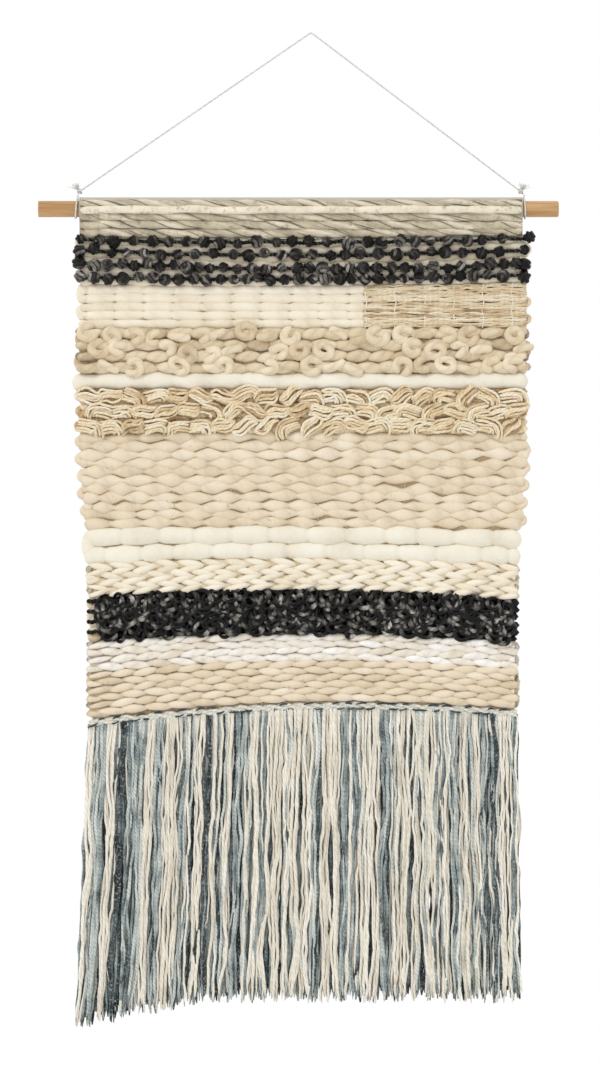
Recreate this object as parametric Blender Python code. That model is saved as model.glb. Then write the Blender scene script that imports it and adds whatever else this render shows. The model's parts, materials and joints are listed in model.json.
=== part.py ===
"""Woven tapestry wall hanging: a wool panel on a wooden dowel, hung by a cord from one nail.

The origin is the point where the cord rests on the nail. +Z is up, +X is to the right and the
front faces -Y. Every size is in metres. The panel is a chain of sections, so that the cloth can
bend between them, and each tassel of the fringe swings by itself.
"""

import math
from collections import namedtuple

import bmesh
import bpy
from mathutils import Vector

# ---- hanging cord ----
DOWEL_DROP = 0.2053
CORD_RADIUS = 0.0010
CORD_SIDES_RESOLUTION = 2
CORD_STEP = 0.0100
NAIL_RADIUS = 0.0020
KNOT_RADIUS = 0.0034
KNOT_CLEARANCE = 0.0026
LOOP_CLEARANCE = 0.0004
LOOP_STRAND_SPREAD = 0.0015
LOOP_ARC_POINTS = 19
# How far each loop, and its knot, stands out past the end of the rod pocket.
LEFT_LOOP_TOP_OUT = 0.0020
LEFT_LOOP_BOTTOM_OUT = 0.0047
LEFT_KNOT_OUT = 0.0
RIGHT_LOOP_TOP_OUT = 0.0018
RIGHT_LOOP_BOTTOM_OUT = 0.0030
RIGHT_KNOT_OUT = -0.0020

# ---- dowel ----
DOWEL_RADIUS = 0.009525
DOWEL_LEFT_STUB = 0.0477
DOWEL_RIGHT_STUB = 0.0373
DOWEL_SIDES = 40
DOWEL_LEFT_ROUND = 0.0005
DOWEL_RIGHT_ROUND = 0.0016

# ---- rod pocket and the marled rows in front of it ----
POCKET_CLEARANCE = 0.0007
POCKET_WALL = 0.0015
POCKET_SIDES = 32
POCKET_LEFT_INSET = 0.0005
POCKET_RIGHT_INSET = 0.0050
MARLED_DEPTH = 0.0024
MARLED_DROP = 0.0340
MARLED_ARC_POINTS = 12
MARLED_ARC_START = 82.0
MARLED_ARC_END = 195.0

# ---- woven panel ----
PANEL_CENTRE_X = -0.0095
PANEL_TOP_WIDTH = 0.5250
PANEL_BOTTOM_WIDTH = 0.5030
NARROWING_START = 0.2600
NARROWING_LENGTH = 0.2000
WARP_Y = 0.0008
WARP_DEPTH = 0.0030
EDGE_TURN = 0.0060
PIECE_GAP = 0.0004
FOLD_GAP = 0.0012
END_LIP = 0.0010
INNER_ROUND = 0.0020
COLOUR_SPLIT = 0.641

# ---- bobble rows ----
BOBBLE_DEPTH = 0.0094
BOBBLE_HEIGHT = 0.0104
BOBBLE_PLACES = (0.126, 0.396, 0.646, 0.876)
BOBBLE_SIDE_REACH = 0.0060
BOBBLE_SIDES = 10

# ---- fringe ----
TASSEL_COUNT = 22
FRINGE_LENGTH = 0.3270
FRINGE_LEFT_EXTRA = 0.0280
FRINGE_LEFT_SPAN = 6
FRINGE_LEFT_FLARE = 0.0158
FRINGE_RIGHT_FLARE = 0.0042
FRINGE_GAP = 0.0034
TASSEL_NECK = 0.0030
TASSEL_DEPTH = 0.0065
TASSEL_TIP_DEPTH = 0.0040
TASSEL_SIDE_GAP = 0.0006

Look = namedtuple("Look", "name colour roughness")
CORD_COTTON = Look("cord_cotton", (0.78, 0.78, 0.76), 0.85)
DOWEL_WOOD = Look("dowel_wood", (0.62, 0.38, 0.19), 0.55)
POCKET_COTTON = Look("pocket_cotton", (0.80, 0.77, 0.70), 0.90)
WARP_COTTON = Look("warp_cotton", (0.82, 0.78, 0.68), 0.90)
MARLED_WOOL = Look("marled_wool", (0.66, 0.60, 0.50), 0.95)
CREAM_WOOL = Look("cream_wool", (0.87, 0.79, 0.63), 0.95)
CHARCOAL_WOOL = Look("charcoal_wool", (0.035, 0.032, 0.032), 0.60)
TAN_WOOL = Look("tan_wool", (0.72, 0.58, 0.38), 0.90)
CURL_WOOL = Look("curl_wool", (0.74, 0.65, 0.50), 0.95)
ROVING_WOOL = Look("roving_wool", (0.90, 0.86, 0.77), 0.98)
STRAND_WOOL = Look("strand_wool", (0.78, 0.64, 0.43), 0.85)
NATURAL_WOOL = Look("natural_wool", (0.77, 0.67, 0.51), 0.95)
IVORY_WOOL = Look("ivory_wool", (0.88, 0.83, 0.74), 0.90)
HEADER_YARN = Look("header_yarn", (0.42, 0.49, 0.50), 0.85)
FRINGE_YARN = Look("fringe_yarn", (0.60, 0.59, 0.53), 0.85)

# A band of weft rows: its height, and how far it stands in front of and behind the warp.
Band = namedtuple("Band", "name height front back look")
Section = namedtuple("Section", "name bands")

SECTIONS = (
    Section("header", (Band("bobble_ground", 0.0563, 0.0040, 0.0040, CREAM_WOOL),)),
    Section(
        "upper",
        (
            Band("colour_block", 0.0493, 0.0050, 0.0050, CREAM_WOOL),
            Band("curl_band", 0.0528, 0.0140, 0.0070, CURL_WOOL),
        ),
    ),
    Section(
        "second",
        (
            Band("roving_row_1", 0.0187, 0.0095, 0.0095, ROVING_WOOL),
            Band("strand_loop_row_1", 0.0172, 0.0125, 0.0060, STRAND_WOOL),
            Band("strand_loop_row_2", 0.0172, 0.0125, 0.0060, STRAND_WOOL),
            Band("strand_loop_row_3", 0.0172, 0.0125, 0.0060, STRAND_WOOL),
        ),
    ),
    Section("middle", (Band("natural_band", 0.1115, 0.0075, 0.0075, NATURAL_WOOL),)),
    Section(
        "third",
        (
            Band("roving_row_2", 0.0199, 0.0095, 0.0095, ROVING_WOOL),
            Band("roving_row_3", 0.0199, 0.0095, 0.0095, ROVING_WOOL),
            Band("cream_soumak_row_1", 0.0118, 0.0075, 0.0060, CREAM_WOOL),
            Band("cream_soumak_row_2", 0.0118, 0.0075, 0.0060, CREAM_WOOL),
            Band("cream_soumak_row_3", 0.0118, 0.0075, 0.0060, CREAM_WOOL),
        ),
    ),
    Section(
        "lower",
        (
            Band("charcoal_loop_band", 0.0545, 0.0140, 0.0060, CHARCOAL_WOOL),
            Band("ivory_soumak_band", 0.0346, 0.0070, 0.0055, IVORY_WOOL),
            Band("natural_soumak_band", 0.0516, 0.0070, 0.0055, NATURAL_WOOL),
            Band("fringe_header", 0.0117, 0.0050, 0.0045, HEADER_YARN),
        ),
    ),
)

AXIS_Z = -DOWEL_DROP
POCKET_LEFT_X = PANEL_CENTRE_X - PANEL_TOP_WIDTH / 2 + POCKET_LEFT_INSET
POCKET_RIGHT_X = PANEL_CENTRE_X + PANEL_TOP_WIDTH / 2 - POCKET_RIGHT_INSET
POCKET_BORE = DOWEL_RADIUS + POCKET_CLEARANCE
POCKET_RADIUS = POCKET_BORE + POCKET_WALL
KNOT_Z = AXIS_Z + POCKET_RADIUS + PIECE_GAP + MARLED_DEPTH + KNOT_CLEARANCE + KNOT_RADIUS
Pivot = namedtuple("Pivot", "empty place")


def clear_scene():
    for obj in list(bpy.data.objects):
        bpy.data.objects.remove(obj, do_unlink=True)


def material_of(look):
    """The Principled material of one look, made once and shared."""
    found = bpy.data.materials.get(look.name)
    if found:
        return found
    made = bpy.data.materials.new(look.name)
    made.use_nodes = True
    shader = made.node_tree.nodes["Principled BSDF"]
    shader.inputs["Base Color"].default_value = (*look.colour, 1.0)
    shader.inputs["Roughness"].default_value = look.roughness
    shader.inputs["Metallic"].default_value = 0.0
    made.diffuse_color = (*look.colour, 1.0)
    return made


def make_pivot(name, place, parent=None):
    """An empty on a joint's axis, which the pieces of one moving body hang from."""
    empty = bpy.data.objects.new(name, None)
    empty.empty_display_size = 0.02
    bpy.context.scene.collection.objects.link(empty)
    place = Vector(place)
    if parent:
        empty.parent = parent.empty
        empty.location = place - parent.place
    else:
        empty.location = place
    return Pivot(empty, place)


def add_piece(shape, name, look, pivot):
    """Makes a mesh object from a bmesh in world coordinates, with its origin on the pivot."""
    bmesh.ops.translate(shape, verts=shape.verts, vec=-pivot.place)
    bmesh.ops.recalc_face_normals(shape, faces=shape.faces)
    mesh = bpy.data.meshes.new(name)
    shape.to_mesh(mesh)
    shape.free()
    mesh.materials.append(material_of(look))
    obj = bpy.data.objects.new(name, mesh)
    bpy.context.scene.collection.objects.link(obj)
    obj.parent = pivot.empty
    return obj


def add_cord(points, name, look, pivot):
    """A round cord along the points, with flat ends."""
    curve = bpy.data.curves.new(name, "CURVE")
    curve.dimensions = "3D"
    curve.bevel_depth = CORD_RADIUS
    curve.bevel_resolution = CORD_SIDES_RESOLUTION
    curve.use_fill_caps = True
    spline = curve.splines.new("POLY")
    spline.points.add(len(points) - 1)
    for target, point in zip(spline.points, points):
        target.co = (*(point - pivot.place), 1.0)
    curve.materials.append(material_of(look))
    obj = bpy.data.objects.new(name, curve)
    bpy.context.scene.collection.objects.link(obj)
    obj.parent = pivot.empty
    return obj


def extruded(profile, x_low, x_high):
    """A (y, z) outline carried along X and closed at both ends."""
    shape = bmesh.new()
    outline = [shape.verts.new((x_low, y, z)) for y, z in profile]
    face = shape.faces.new(outline)
    grown = bmesh.ops.extrude_face_region(shape, geom=[face])["geom"]
    moved = [item for item in grown if isinstance(item, bmesh.types.BMVert)]
    bmesh.ops.translate(shape, verts=moved, vec=(x_high - x_low, 0, 0))
    return shape


def lofted(rings):
    """A closed skin over rings of points that all have the same count."""
    shape = bmesh.new()
    rows = [[shape.verts.new(point) for point in ring] for ring in rings]
    for above, below in zip(rows, rows[1:]):
        count = len(above)
        for i in range(count):
            j = (i + 1) % count
            shape.faces.new((above[i], above[j], below[j], below[i]))
    shape.faces.new(rows[0])
    shape.faces.new(rows[-1])
    return shape


def box(low, high):
    shape = bmesh.new()
    bmesh.ops.create_cube(shape, size=1.0)
    for vert in shape.verts:
        for k in range(3):
            vert.co[k] = high[k] if vert.co[k] > 0 else low[k]
    return shape


def faceted_rod(radius, x_low, x_high, sides):
    """A plain cylinder along the dowel's axis, with one of its flats facing straight back."""
    angles = [math.tau * (i + 0.5) / sides for i in range(sides)]
    ring = [(radius * math.cos(a), AXIS_Z + radius * math.sin(a)) for a in angles]
    return extruded(ring, x_low, x_high)


def add_boolean(obj, tool, operation):
    tool.hide_render = True
    tool.display_type = "WIRE"
    modifier = obj.modifiers.new(tool.name, "BOOLEAN")
    modifier.operation = operation
    modifier.solver = "EXACT"
    modifier.object = tool


def panel_edges(drop):
    """The panel's left and right edges at a distance below the dowel's axis."""
    part = min(max((drop - NARROWING_START) / NARROWING_LENGTH, 0.0), 1.0)
    ease = part * part * (3 - 2 * part)
    width = PANEL_TOP_WIDTH + (PANEL_BOTTOM_WIDTH - PANEL_TOP_WIDTH) * ease
    return PANEL_CENTRE_X - width / 2, PANEL_CENTRE_X + width / 2


# ---- hanging cord, loops and knots ----


def tangent_angle(centre, radius, point, side):
    """The angle at which a line from the point touches the circle, on the side asked for."""
    away = (point[0] - centre[0], point[1] - centre[1])
    facing = math.atan2(away[1], away[0])
    return facing + side * math.acos(radius / math.hypot(*away))


def straight(start, end, step):
    count = max(2, round((end - start).length / step))
    return [start.lerp(end, i / count) for i in range(count + 1)]


def cord_route(left_knot, right_knot):
    """The cord's centreline from knot to knot, over the nail."""
    turn = CORD_RADIUS + NAIL_RADIUS
    centre = (0.0, -NAIL_RADIUS)
    left_angle = tangent_angle(centre, turn, (left_knot.x, left_knot.z), -1)
    right_angle = tangent_angle(centre, turn, (right_knot.x, right_knot.z), 1)
    left_angle %= math.tau
    over = [
        Vector((centre[0] + turn * math.cos(a), 0.0, centre[1] + turn * math.sin(a)))
        for a in (left_angle + (right_angle - left_angle) * i / 6 for i in range(7))
    ]
    reach = KNOT_RADIUS + PIECE_GAP
    left_end = left_knot + (over[0] - left_knot).normalized() * reach
    right_end = right_knot + (over[-1] - right_knot).normalized() * reach
    left_leg = straight(left_end, over[0], CORD_STEP)
    right_leg = straight(over[-1], right_end, CORD_STEP)
    return left_leg[:-1] + over + right_leg[1:]


def loop_route(top_x, bottom_x):
    """A loop that leaves the knot's underside, passes round the dowel and comes back."""
    radius = DOWEL_RADIUS + LOOP_CLEARANCE + CORD_RADIUS
    spread = LOOP_STRAND_SPREAD
    reach = KNOT_RADIUS + PIECE_GAP + CORD_RADIUS / 2
    top = KNOT_Z - math.sqrt(reach**2 - spread**2) - AXIS_Z
    first = tangent_angle((0.0, 0.0), radius, (-spread, top), 1)
    last = tangent_angle((0.0, 0.0), radius, (spread, top), -1) + math.tau
    flat = [(-spread, top)]
    for i in range(LOOP_ARC_POINTS):
        angle = first + (last - first) * i / (LOOP_ARC_POINTS - 1)
        flat.append((radius * math.cos(angle), radius * math.sin(angle)))
    flat.append((spread, top))
    lean = (top_x - bottom_x) / (top + radius)
    return [Vector((bottom_x + lean * (z + radius), y, AXIS_Z + z)) for y, z in flat]


def knot_at(place):
    shape = bmesh.new()
    bmesh.ops.create_uvsphere(shape, u_segments=14, v_segments=9, radius=KNOT_RADIUS)
    bmesh.ops.translate(shape, verts=shape.verts, vec=place)
    return shape


def build_hanger(hanger):
    left = Vector((POCKET_LEFT_X - LEFT_KNOT_OUT, 0.0, KNOT_Z))
    right = Vector((POCKET_RIGHT_X + RIGHT_KNOT_OUT, 0.0, KNOT_Z))
    add_cord(cord_route(left, right), "hanging_cord", CORD_COTTON, hanger)
    add_piece(knot_at(left), "cord_knot_left", CORD_COTTON, hanger)
    add_piece(knot_at(right), "cord_knot_right", CORD_COTTON, hanger)
    left_loop = loop_route(
        POCKET_LEFT_X - LEFT_LOOP_TOP_OUT, POCKET_LEFT_X - LEFT_LOOP_BOTTOM_OUT
    )
    right_loop = loop_route(
        POCKET_RIGHT_X + RIGHT_LOOP_TOP_OUT, POCKET_RIGHT_X + RIGHT_LOOP_BOTTOM_OUT
    )
    add_cord(left_loop, "cord_loop_left", CORD_COTTON, hanger)
    add_cord(right_loop, "cord_loop_right", CORD_COTTON, hanger)


# ---- dowel ----


def build_dowel(rod):
    """The dowel stands out past both edges of the panel."""
    left = PANEL_CENTRE_X - PANEL_TOP_WIDTH / 2 - DOWEL_LEFT_STUB
    right = PANEL_CENTRE_X + PANEL_TOP_WIDTH / 2 + DOWEL_RIGHT_STUB
    half_left = DOWEL_LEFT_ROUND * (1 - math.sqrt(0.5))
    half_right = DOWEL_RIGHT_ROUND * (1 - math.sqrt(0.5))
    stations = (
        (left, DOWEL_RADIUS - DOWEL_LEFT_ROUND),
        (left + half_left, DOWEL_RADIUS - half_left),
        (left + DOWEL_LEFT_ROUND, DOWEL_RADIUS),
        (right - DOWEL_RIGHT_ROUND, DOWEL_RADIUS),
        (right - half_right, DOWEL_RADIUS - half_right),
        (right, DOWEL_RADIUS - DOWEL_RIGHT_ROUND),
    )
    turns = [math.tau * i / DOWEL_SIDES for i in range(DOWEL_SIDES)]
    rings = [
        [(x, radius * math.cos(a), AXIS_Z + radius * math.sin(a)) for a in turns]
        for x, radius in stations
    ]
    add_piece(lofted(rings), "dowel", DOWEL_WOOD, rod)


# ---- rod pocket and marled rows ----


def build_pocket(header):
    """The cloth folded over the dowel: a tube with its two layers joined below it."""
    outer = faceted_rod(POCKET_RADIUS, POCKET_LEFT_X, POCKET_RIGHT_X, POCKET_SIDES)
    pocket = add_piece(outer, "rod_pocket", POCKET_COTTON, header)
    half = WARP_DEPTH / 2
    tail = add_piece(
        box(
            (POCKET_LEFT_X, WARP_Y - half, AXIS_Z - MARLED_DROP + PIECE_GAP / 2),
            (POCKET_RIGHT_X, WARP_Y + half, AXIS_Z - POCKET_BORE - POCKET_WALL / 2),
        ),
        "pocket_tail_tool",
        POCKET_COTTON,
        header,
    )
    past = 0.01
    hole = add_piece(
        faceted_rod(POCKET_BORE, POCKET_LEFT_X - past, POCKET_RIGHT_X + past, POCKET_SIDES),
        "pocket_bore_tool",
        POCKET_COTTON,
        header,
    )
    add_boolean(pocket, tail, "UNION")
    add_boolean(pocket, hole, "DIFFERENCE")


def marled_midline():
    """From behind the pocket's top, over its front, and down to the front of the cloth."""
    radius = POCKET_RADIUS + PIECE_GAP + MARLED_DEPTH / 2
    count = MARLED_ARC_POINTS - 1
    line = []
    for i in range(MARLED_ARC_POINTS):
        turn = MARLED_ARC_START + (MARLED_ARC_END - MARLED_ARC_START) * i / count
        angle = math.radians(turn)
        line.append(Vector((radius * math.cos(angle), radius * math.sin(angle))))
    leaving = Vector((line[-1] - line[-2])).normalized()
    front = WARP_Y - WARP_DEPTH / 2 - PIECE_GAP - MARLED_DEPTH / 2
    foot = Vector((front, -MARLED_DROP + PIECE_GAP / 2))
    above_foot = foot + Vector((0.0, 0.008))
    for i in range(1, 6):
        part = i / 6
        first = line[MARLED_ARC_POINTS - 1].lerp(
            line[MARLED_ARC_POINTS - 1] + leaving * 0.012, part
        )
        second = (line[MARLED_ARC_POINTS - 1] + leaving * 0.012).lerp(above_foot, part)
        line.append(first.lerp(second, part))
    return line + [above_foot, foot]


def build_marled_band(header):
    line = marled_midline()
    near, far = [], []
    for i, point in enumerate(line):
        along = line[min(i + 1, len(line) - 1)] - line[max(i - 1, 0)]
        side = Vector((-along.y, along.x)).normalized() * MARLED_DEPTH / 2
        near.append(point + side)
        far.append(point - side)
    profile = [(p.x, AXIS_Z + p.y) for p in near + far[::-1]]
    shape = extruded(profile, POCKET_LEFT_X, POCKET_RIGHT_X)
    add_piece(shape, "marled_band", MARLED_WOOL, header)


# ---- bands of weft rows round the warp ----


def end_arc(depth, end_z, direction, steps):
    """A quarter round from the lip at a band's end to its full depth, as (depth, z) pairs."""
    lip = WARP_DEPTH / 2 + PIECE_GAP + END_LIP
    first = math.asin(min(lip / depth, 1.0))
    centre_z = end_z - direction * depth
    angles = [first + (math.pi / 2 - first) * i / steps for i in range(steps + 1)]
    return [(depth * math.sin(a), centre_z + direction * depth * math.cos(a)) for a in angles]


def end_bevel(depth, end_z, direction):
    return [(depth - INNER_ROUND, end_z), (depth, end_z - direction * INNER_ROUND)]


def band_side(depth, low, high, folds_low, folds_high):
    """One side of a band, from its top to its bottom. A folding end is fully rounded."""
    top = end_arc(depth, high, 1, 5) if folds_high else end_bevel(depth, high, 1)
    bottom = end_arc(depth, low, -1, 5) if folds_low else end_bevel(depth, low, -1)
    return top + bottom[::-1]


def band_shape(band, x_low, x_high, low, high, folds_low, folds_high):
    front = band_side(band.front, low, high, folds_low, folds_high)
    back = band_side(band.back, low, high, folds_low, folds_high)
    profile = [(WARP_Y - depth, z) for depth, z in front]
    profile += [(WARP_Y + depth, z) for depth, z in back[::-1]]
    return extruded(profile, x_low, x_high)


def warp_sheet_sides(drops):
    """The sheet's edges, inside the edge turns of the narrowest band."""
    edges = [panel_edges(drop) for drop in drops]
    inside = EDGE_TURN + PIECE_GAP
    return max(e[0] for e in edges) + inside, min(e[1] for e in edges) - inside


def build_section(section, top, pivot):
    """One section's warp and bands. Returns the drop of its lower end."""
    bottom = top + sum(band.height for band in section.bands)
    is_header = section.name == "header"
    sheet_top = top + (PIECE_GAP if is_header else FOLD_GAP) / 2
    sheet_bottom = bottom - FOLD_GAP / 2
    middles = []
    drop = top
    for band in section.bands:
        middles.append(drop + band.height / 2)
        drop += band.height
    left, right = warp_sheet_sides(middles)
    half = WARP_DEPTH / 2
    sheet = box(
        (left, WARP_Y - half, AXIS_Z - sheet_bottom),
        (right, WARP_Y + half, AXIS_Z - sheet_top),
    )
    add_piece(sheet, f"warp_{section.name}", WARP_COTTON, pivot)
    past = 0.01
    cutter = add_piece(
        box(
            (left - PIECE_GAP, WARP_Y - half - PIECE_GAP, AXIS_Z - bottom - past),
            (right + PIECE_GAP, WARP_Y + half + PIECE_GAP, AXIS_Z - top + past),
        ),
        f"warp_slot_tool_{section.name}",
        WARP_COTTON,
        pivot,
    )
    drop = top
    for index, band in enumerate(section.bands):
        folds_high = index == 0 and not is_header
        folds_low = index == len(section.bands) - 1
        high = AXIS_Z - drop - (FOLD_GAP if folds_high else PIECE_GAP) / 2
        low = AXIS_Z - drop - band.height + (FOLD_GAP if folds_low else PIECE_GAP) / 2
        edges = panel_edges(drop + band.height / 2)
        for name, look, x_low, x_high in band_pieces(band, *edges):
            shape = band_shape(band, x_low, x_high, low, high, folds_low, folds_high)
            add_boolean(add_piece(shape, name, look, pivot), cutter, "DIFFERENCE")
        drop += band.height
    return bottom


def band_pieces(band, left, right):
    """The pieces side by side in one band: one, or the two blocks of colour."""
    if band.name != "colour_block":
        return [(band.name, band.look, left, right)]
    split = left + (right - left) * COLOUR_SPLIT
    return [
        ("cream_block", CREAM_WOOL, left, split - PIECE_GAP / 2),
        ("tan_block", TAN_WOOL, split + PIECE_GAP / 2, right),
    ]


# ---- bobble rows ----


def build_bobble_rows(header):
    """Each row of bobbles lies against the front of the woven ground."""
    ground = SECTIONS[0].bands[0]
    middle_y = WARP_Y - ground.front - PIECE_GAP - BOBBLE_DEPTH / 2
    for number, place in enumerate(BOBBLE_PLACES, 1):
        drop = MARLED_DROP + ground.height * place
        left, right = panel_edges(drop)
        profile = []
        for i in range(BOBBLE_SIDES):
            angle = math.tau * (i + 0.5) / BOBBLE_SIDES
            y = middle_y + BOBBLE_DEPTH / 2 * math.cos(angle)
            z = AXIS_Z - drop + BOBBLE_HEIGHT / 2 * math.sin(angle)
            profile.append((y, z))
        shape = extruded(profile, left - BOBBLE_SIDE_REACH, right + BOBBLE_SIDE_REACH)
        add_piece(shape, f"bobble_row_{number}", CHARCOAL_WOOL, header)


# ---- fringe ----


def tassel_ring(centre_x, half_width, depth, z):
    """An eight-sided ring, narrower at the corners."""
    corner = min(half_width, depth) * 0.5
    around = (
        (half_width, depth - corner),
        (half_width - corner, depth),
        (corner - half_width, depth),
        (-half_width, depth - corner),
        (-half_width, corner - depth),
        (corner - half_width, -depth),
        (half_width - corner, -depth),
        (half_width, corner - depth),
    )
    return [(centre_x + x, WARP_Y + y, z) for x, y in around]


def tassel_shape(index, top_drop):
    """A tassel, hung from a thin tab that can fold up past the rounded fringe header."""
    left, right = panel_edges(top_drop)
    top_pitch = (right - left) / TASSEL_COUNT
    top_x = left + top_pitch * (index + 0.5)
    tip_left = left - FRINGE_LEFT_FLARE
    tip_pitch = (right + FRINGE_RIGHT_FLARE - tip_left) / TASSEL_COUNT
    tip_x = tip_left + tip_pitch * (index + 0.5)
    extra = FRINGE_LEFT_EXTRA * max(0.0, 1 - index / FRINGE_LEFT_SPAN)
    length = FRINGE_LENGTH + extra
    header = SECTIONS[-1].bands[-1]
    tab = (FOLD_GAP - PIECE_GAP) / 2
    clear = max(header.front, header.back) + PIECE_GAP
    levels = (
        (FRINGE_GAP / 2, tab),
        (clear, tab),
        (clear + TASSEL_NECK / 2, TASSEL_NECK),
        (clear * 2, TASSEL_NECK),
        (0.035, TASSEL_DEPTH),
        (length * 0.85, TASSEL_DEPTH),
        (length, TASSEL_TIP_DEPTH),
    )
    rings = []
    for drop, depth in levels:
        part = drop / length
        half_width = (top_pitch + (tip_pitch - top_pitch) * part - TASSEL_SIDE_GAP) / 2
        centre_x = top_x + (tip_x - top_x) * part
        rings.append(tassel_ring(centre_x, half_width, depth, AXIS_Z - top_drop - drop))
    return lofted(rings)


def build_fringe(top_drop, lower):
    for index in range(TASSEL_COUNT):
        name = f"tassel_{index + 1:02d}"
        place = (0.0, WARP_Y, AXIS_Z - top_drop)
        pivot = make_pivot(f"{name}_pivot", place, lower)
        add_piece(tassel_shape(index, top_drop), name, FRINGE_YARN, pivot)


def build():
    clear_scene()
    hanger = make_pivot("hanger_pivot", (0.0, 0.0, 0.0))
    rod = make_pivot("rod_pivot", (0.0, 0.0, AXIS_Z), hanger)
    pivot = make_pivot("header_pivot", (0.0, 0.0, AXIS_Z), hanger)
    build_hanger(hanger)
    build_dowel(rod)
    build_pocket(pivot)
    build_marled_band(pivot)
    build_bobble_rows(pivot)
    drop = MARLED_DROP
    for section in SECTIONS:
        if section.name != "header":
            place = (0.0, WARP_Y, AXIS_Z - drop)
            pivot = make_pivot(f"{section.name}_pivot", place, pivot)
        drop = build_section(section, drop, pivot)
    build_fringe(drop, pivot)


build()
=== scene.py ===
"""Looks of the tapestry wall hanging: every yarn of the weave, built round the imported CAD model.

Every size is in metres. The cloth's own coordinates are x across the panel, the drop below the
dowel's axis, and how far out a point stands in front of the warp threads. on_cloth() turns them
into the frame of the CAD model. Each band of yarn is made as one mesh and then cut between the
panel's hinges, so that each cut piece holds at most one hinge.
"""

import json
import math

import bmesh
import bpy
import numpy as np
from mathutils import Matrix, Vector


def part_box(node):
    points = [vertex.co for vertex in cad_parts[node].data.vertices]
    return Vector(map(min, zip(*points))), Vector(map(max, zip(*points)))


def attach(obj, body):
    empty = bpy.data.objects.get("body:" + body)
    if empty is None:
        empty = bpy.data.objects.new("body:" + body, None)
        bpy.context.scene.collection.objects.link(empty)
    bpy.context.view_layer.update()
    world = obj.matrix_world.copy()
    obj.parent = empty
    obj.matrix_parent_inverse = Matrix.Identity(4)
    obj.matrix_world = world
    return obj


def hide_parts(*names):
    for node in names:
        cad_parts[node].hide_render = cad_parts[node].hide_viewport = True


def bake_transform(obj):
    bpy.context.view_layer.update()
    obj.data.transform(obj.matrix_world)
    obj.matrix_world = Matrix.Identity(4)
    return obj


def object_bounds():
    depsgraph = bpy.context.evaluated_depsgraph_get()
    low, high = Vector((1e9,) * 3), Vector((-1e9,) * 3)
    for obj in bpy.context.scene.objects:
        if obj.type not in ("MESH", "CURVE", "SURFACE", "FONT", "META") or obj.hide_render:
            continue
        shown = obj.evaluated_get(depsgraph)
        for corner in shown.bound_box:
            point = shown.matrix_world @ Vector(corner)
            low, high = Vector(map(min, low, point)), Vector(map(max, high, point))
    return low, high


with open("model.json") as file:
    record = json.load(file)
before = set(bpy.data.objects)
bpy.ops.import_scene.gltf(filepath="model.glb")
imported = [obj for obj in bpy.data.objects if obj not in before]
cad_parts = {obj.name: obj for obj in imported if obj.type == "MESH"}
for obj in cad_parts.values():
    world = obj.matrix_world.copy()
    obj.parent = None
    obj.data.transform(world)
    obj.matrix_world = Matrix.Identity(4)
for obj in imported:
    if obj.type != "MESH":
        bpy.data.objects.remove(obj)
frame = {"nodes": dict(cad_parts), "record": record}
CAD_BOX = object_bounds()


def corners(node):
    """A CAD node's lowest and highest corners at rest."""
    return (np.array(corner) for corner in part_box(node))


# ---- places read from the CAD model ----
DOWEL_LOW, DOWEL_HIGH = corners("dowel")
DOWEL_RADIUS = (DOWEL_HIGH[2] - DOWEL_LOW[2]) / 2
AXIS_Z = (DOWEL_HIGH[2] + DOWEL_LOW[2]) / 2
POCKET_LOW, POCKET_HIGH = corners("rod_pocket")
GROUND_LOW, GROUND_HIGH = corners("bobble_ground")
HEADER_LOW, HEADER_HIGH = corners("fringe_header")
HINGES = {joint["name"]: joint for joint in frame["record"]["behaviour"]["joints"]}
WARP_Y = HINGES["upper_bend"]["pos_m"][1]

BEND_NAMES = ("upper", "second", "middle", "third", "lower")
BEND_BODIES = ("header",) + BEND_NAMES
BEND_DROPS = [AXIS_Z - HINGES[f"{name}_bend"]["pos_m"][2] for name in BEND_NAMES]
FRINGE_DROP = AXIS_Z - HINGES["tassel_01_swing"]["pos_m"][2]
BEND_REACH = 0.012  # a piece that comes within this length of its hinge is left unattached

# ---- hanging cord, as in part.py ----
CORD_RADIUS = 0.0010
NAIL_RADIUS = 0.0020
CORD_STEP = 0.0100
CORD_PITCH = 0.0075
PIECE_GAP = 0.0004
LOOP_CLEARANCE = 0.0004
LOOP_STRAND_SPREAD = 0.0015
LOOP_ARC_POINTS = 19

# ---- the cloth ----
TOP_LEFT, TOP_RIGHT = GROUND_LOW[0], GROUND_HIGH[0]
FOOT_LEFT, FOOT_RIGHT = HEADER_LOW[0], HEADER_HIGH[0]
NARROWING_START = 0.2600
NARROWING_LENGTH = 0.2000
COLUMN = 0.0343

# How far the rows rise above the straight bands of the CAD model, at several drops: at the left
# edge, in the middle and at the right edge.
LIFT_DROPS = (0.018, 0.039, 0.070, 0.083, 0.100, 0.300, 0.374, 0.449, 0.500, 0.594, 1.0)
LIFT_LEFT = (0, 0.0035, 0.0068, 0.0024, 0, 0, 0, -0.0045, -0.0040, -0.0065, -0.0065)
LIFT_MIDDLE = (0, 0, 0, 0, 0, 0, 0.0020, 0.0035, 0.0060, 0.0135, 0.0135)
LIFT_RIGHT = (0, 0.0050, 0.0062, 0.0050, 0.0010, 0, -0.0010, -0.0080, -0.0050, 0.0050, 0.0050)

# The bands of yarn from the top down, and the drops at which they start. The last one is the end.
BAND_NAMES = "bobbles blocks curls roving_1 strand_loops natural roving_2 roving_3".split()
BAND_NAMES += "cream_soumak pile ivory_soumak natural_soumak".split()
BAND_DROPS = (0.0345, 0.0903, 0.1396, 0.1924, 0.2111, 0.2627, 0.3742, 0.3941, 0.4140)
BAND_DROPS += (0.4494, 0.5039, 0.5385, 0.5901)
BANDS = dict(zip(BAND_NAMES, zip(BAND_DROPS, BAND_DROPS[1:])))


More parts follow.
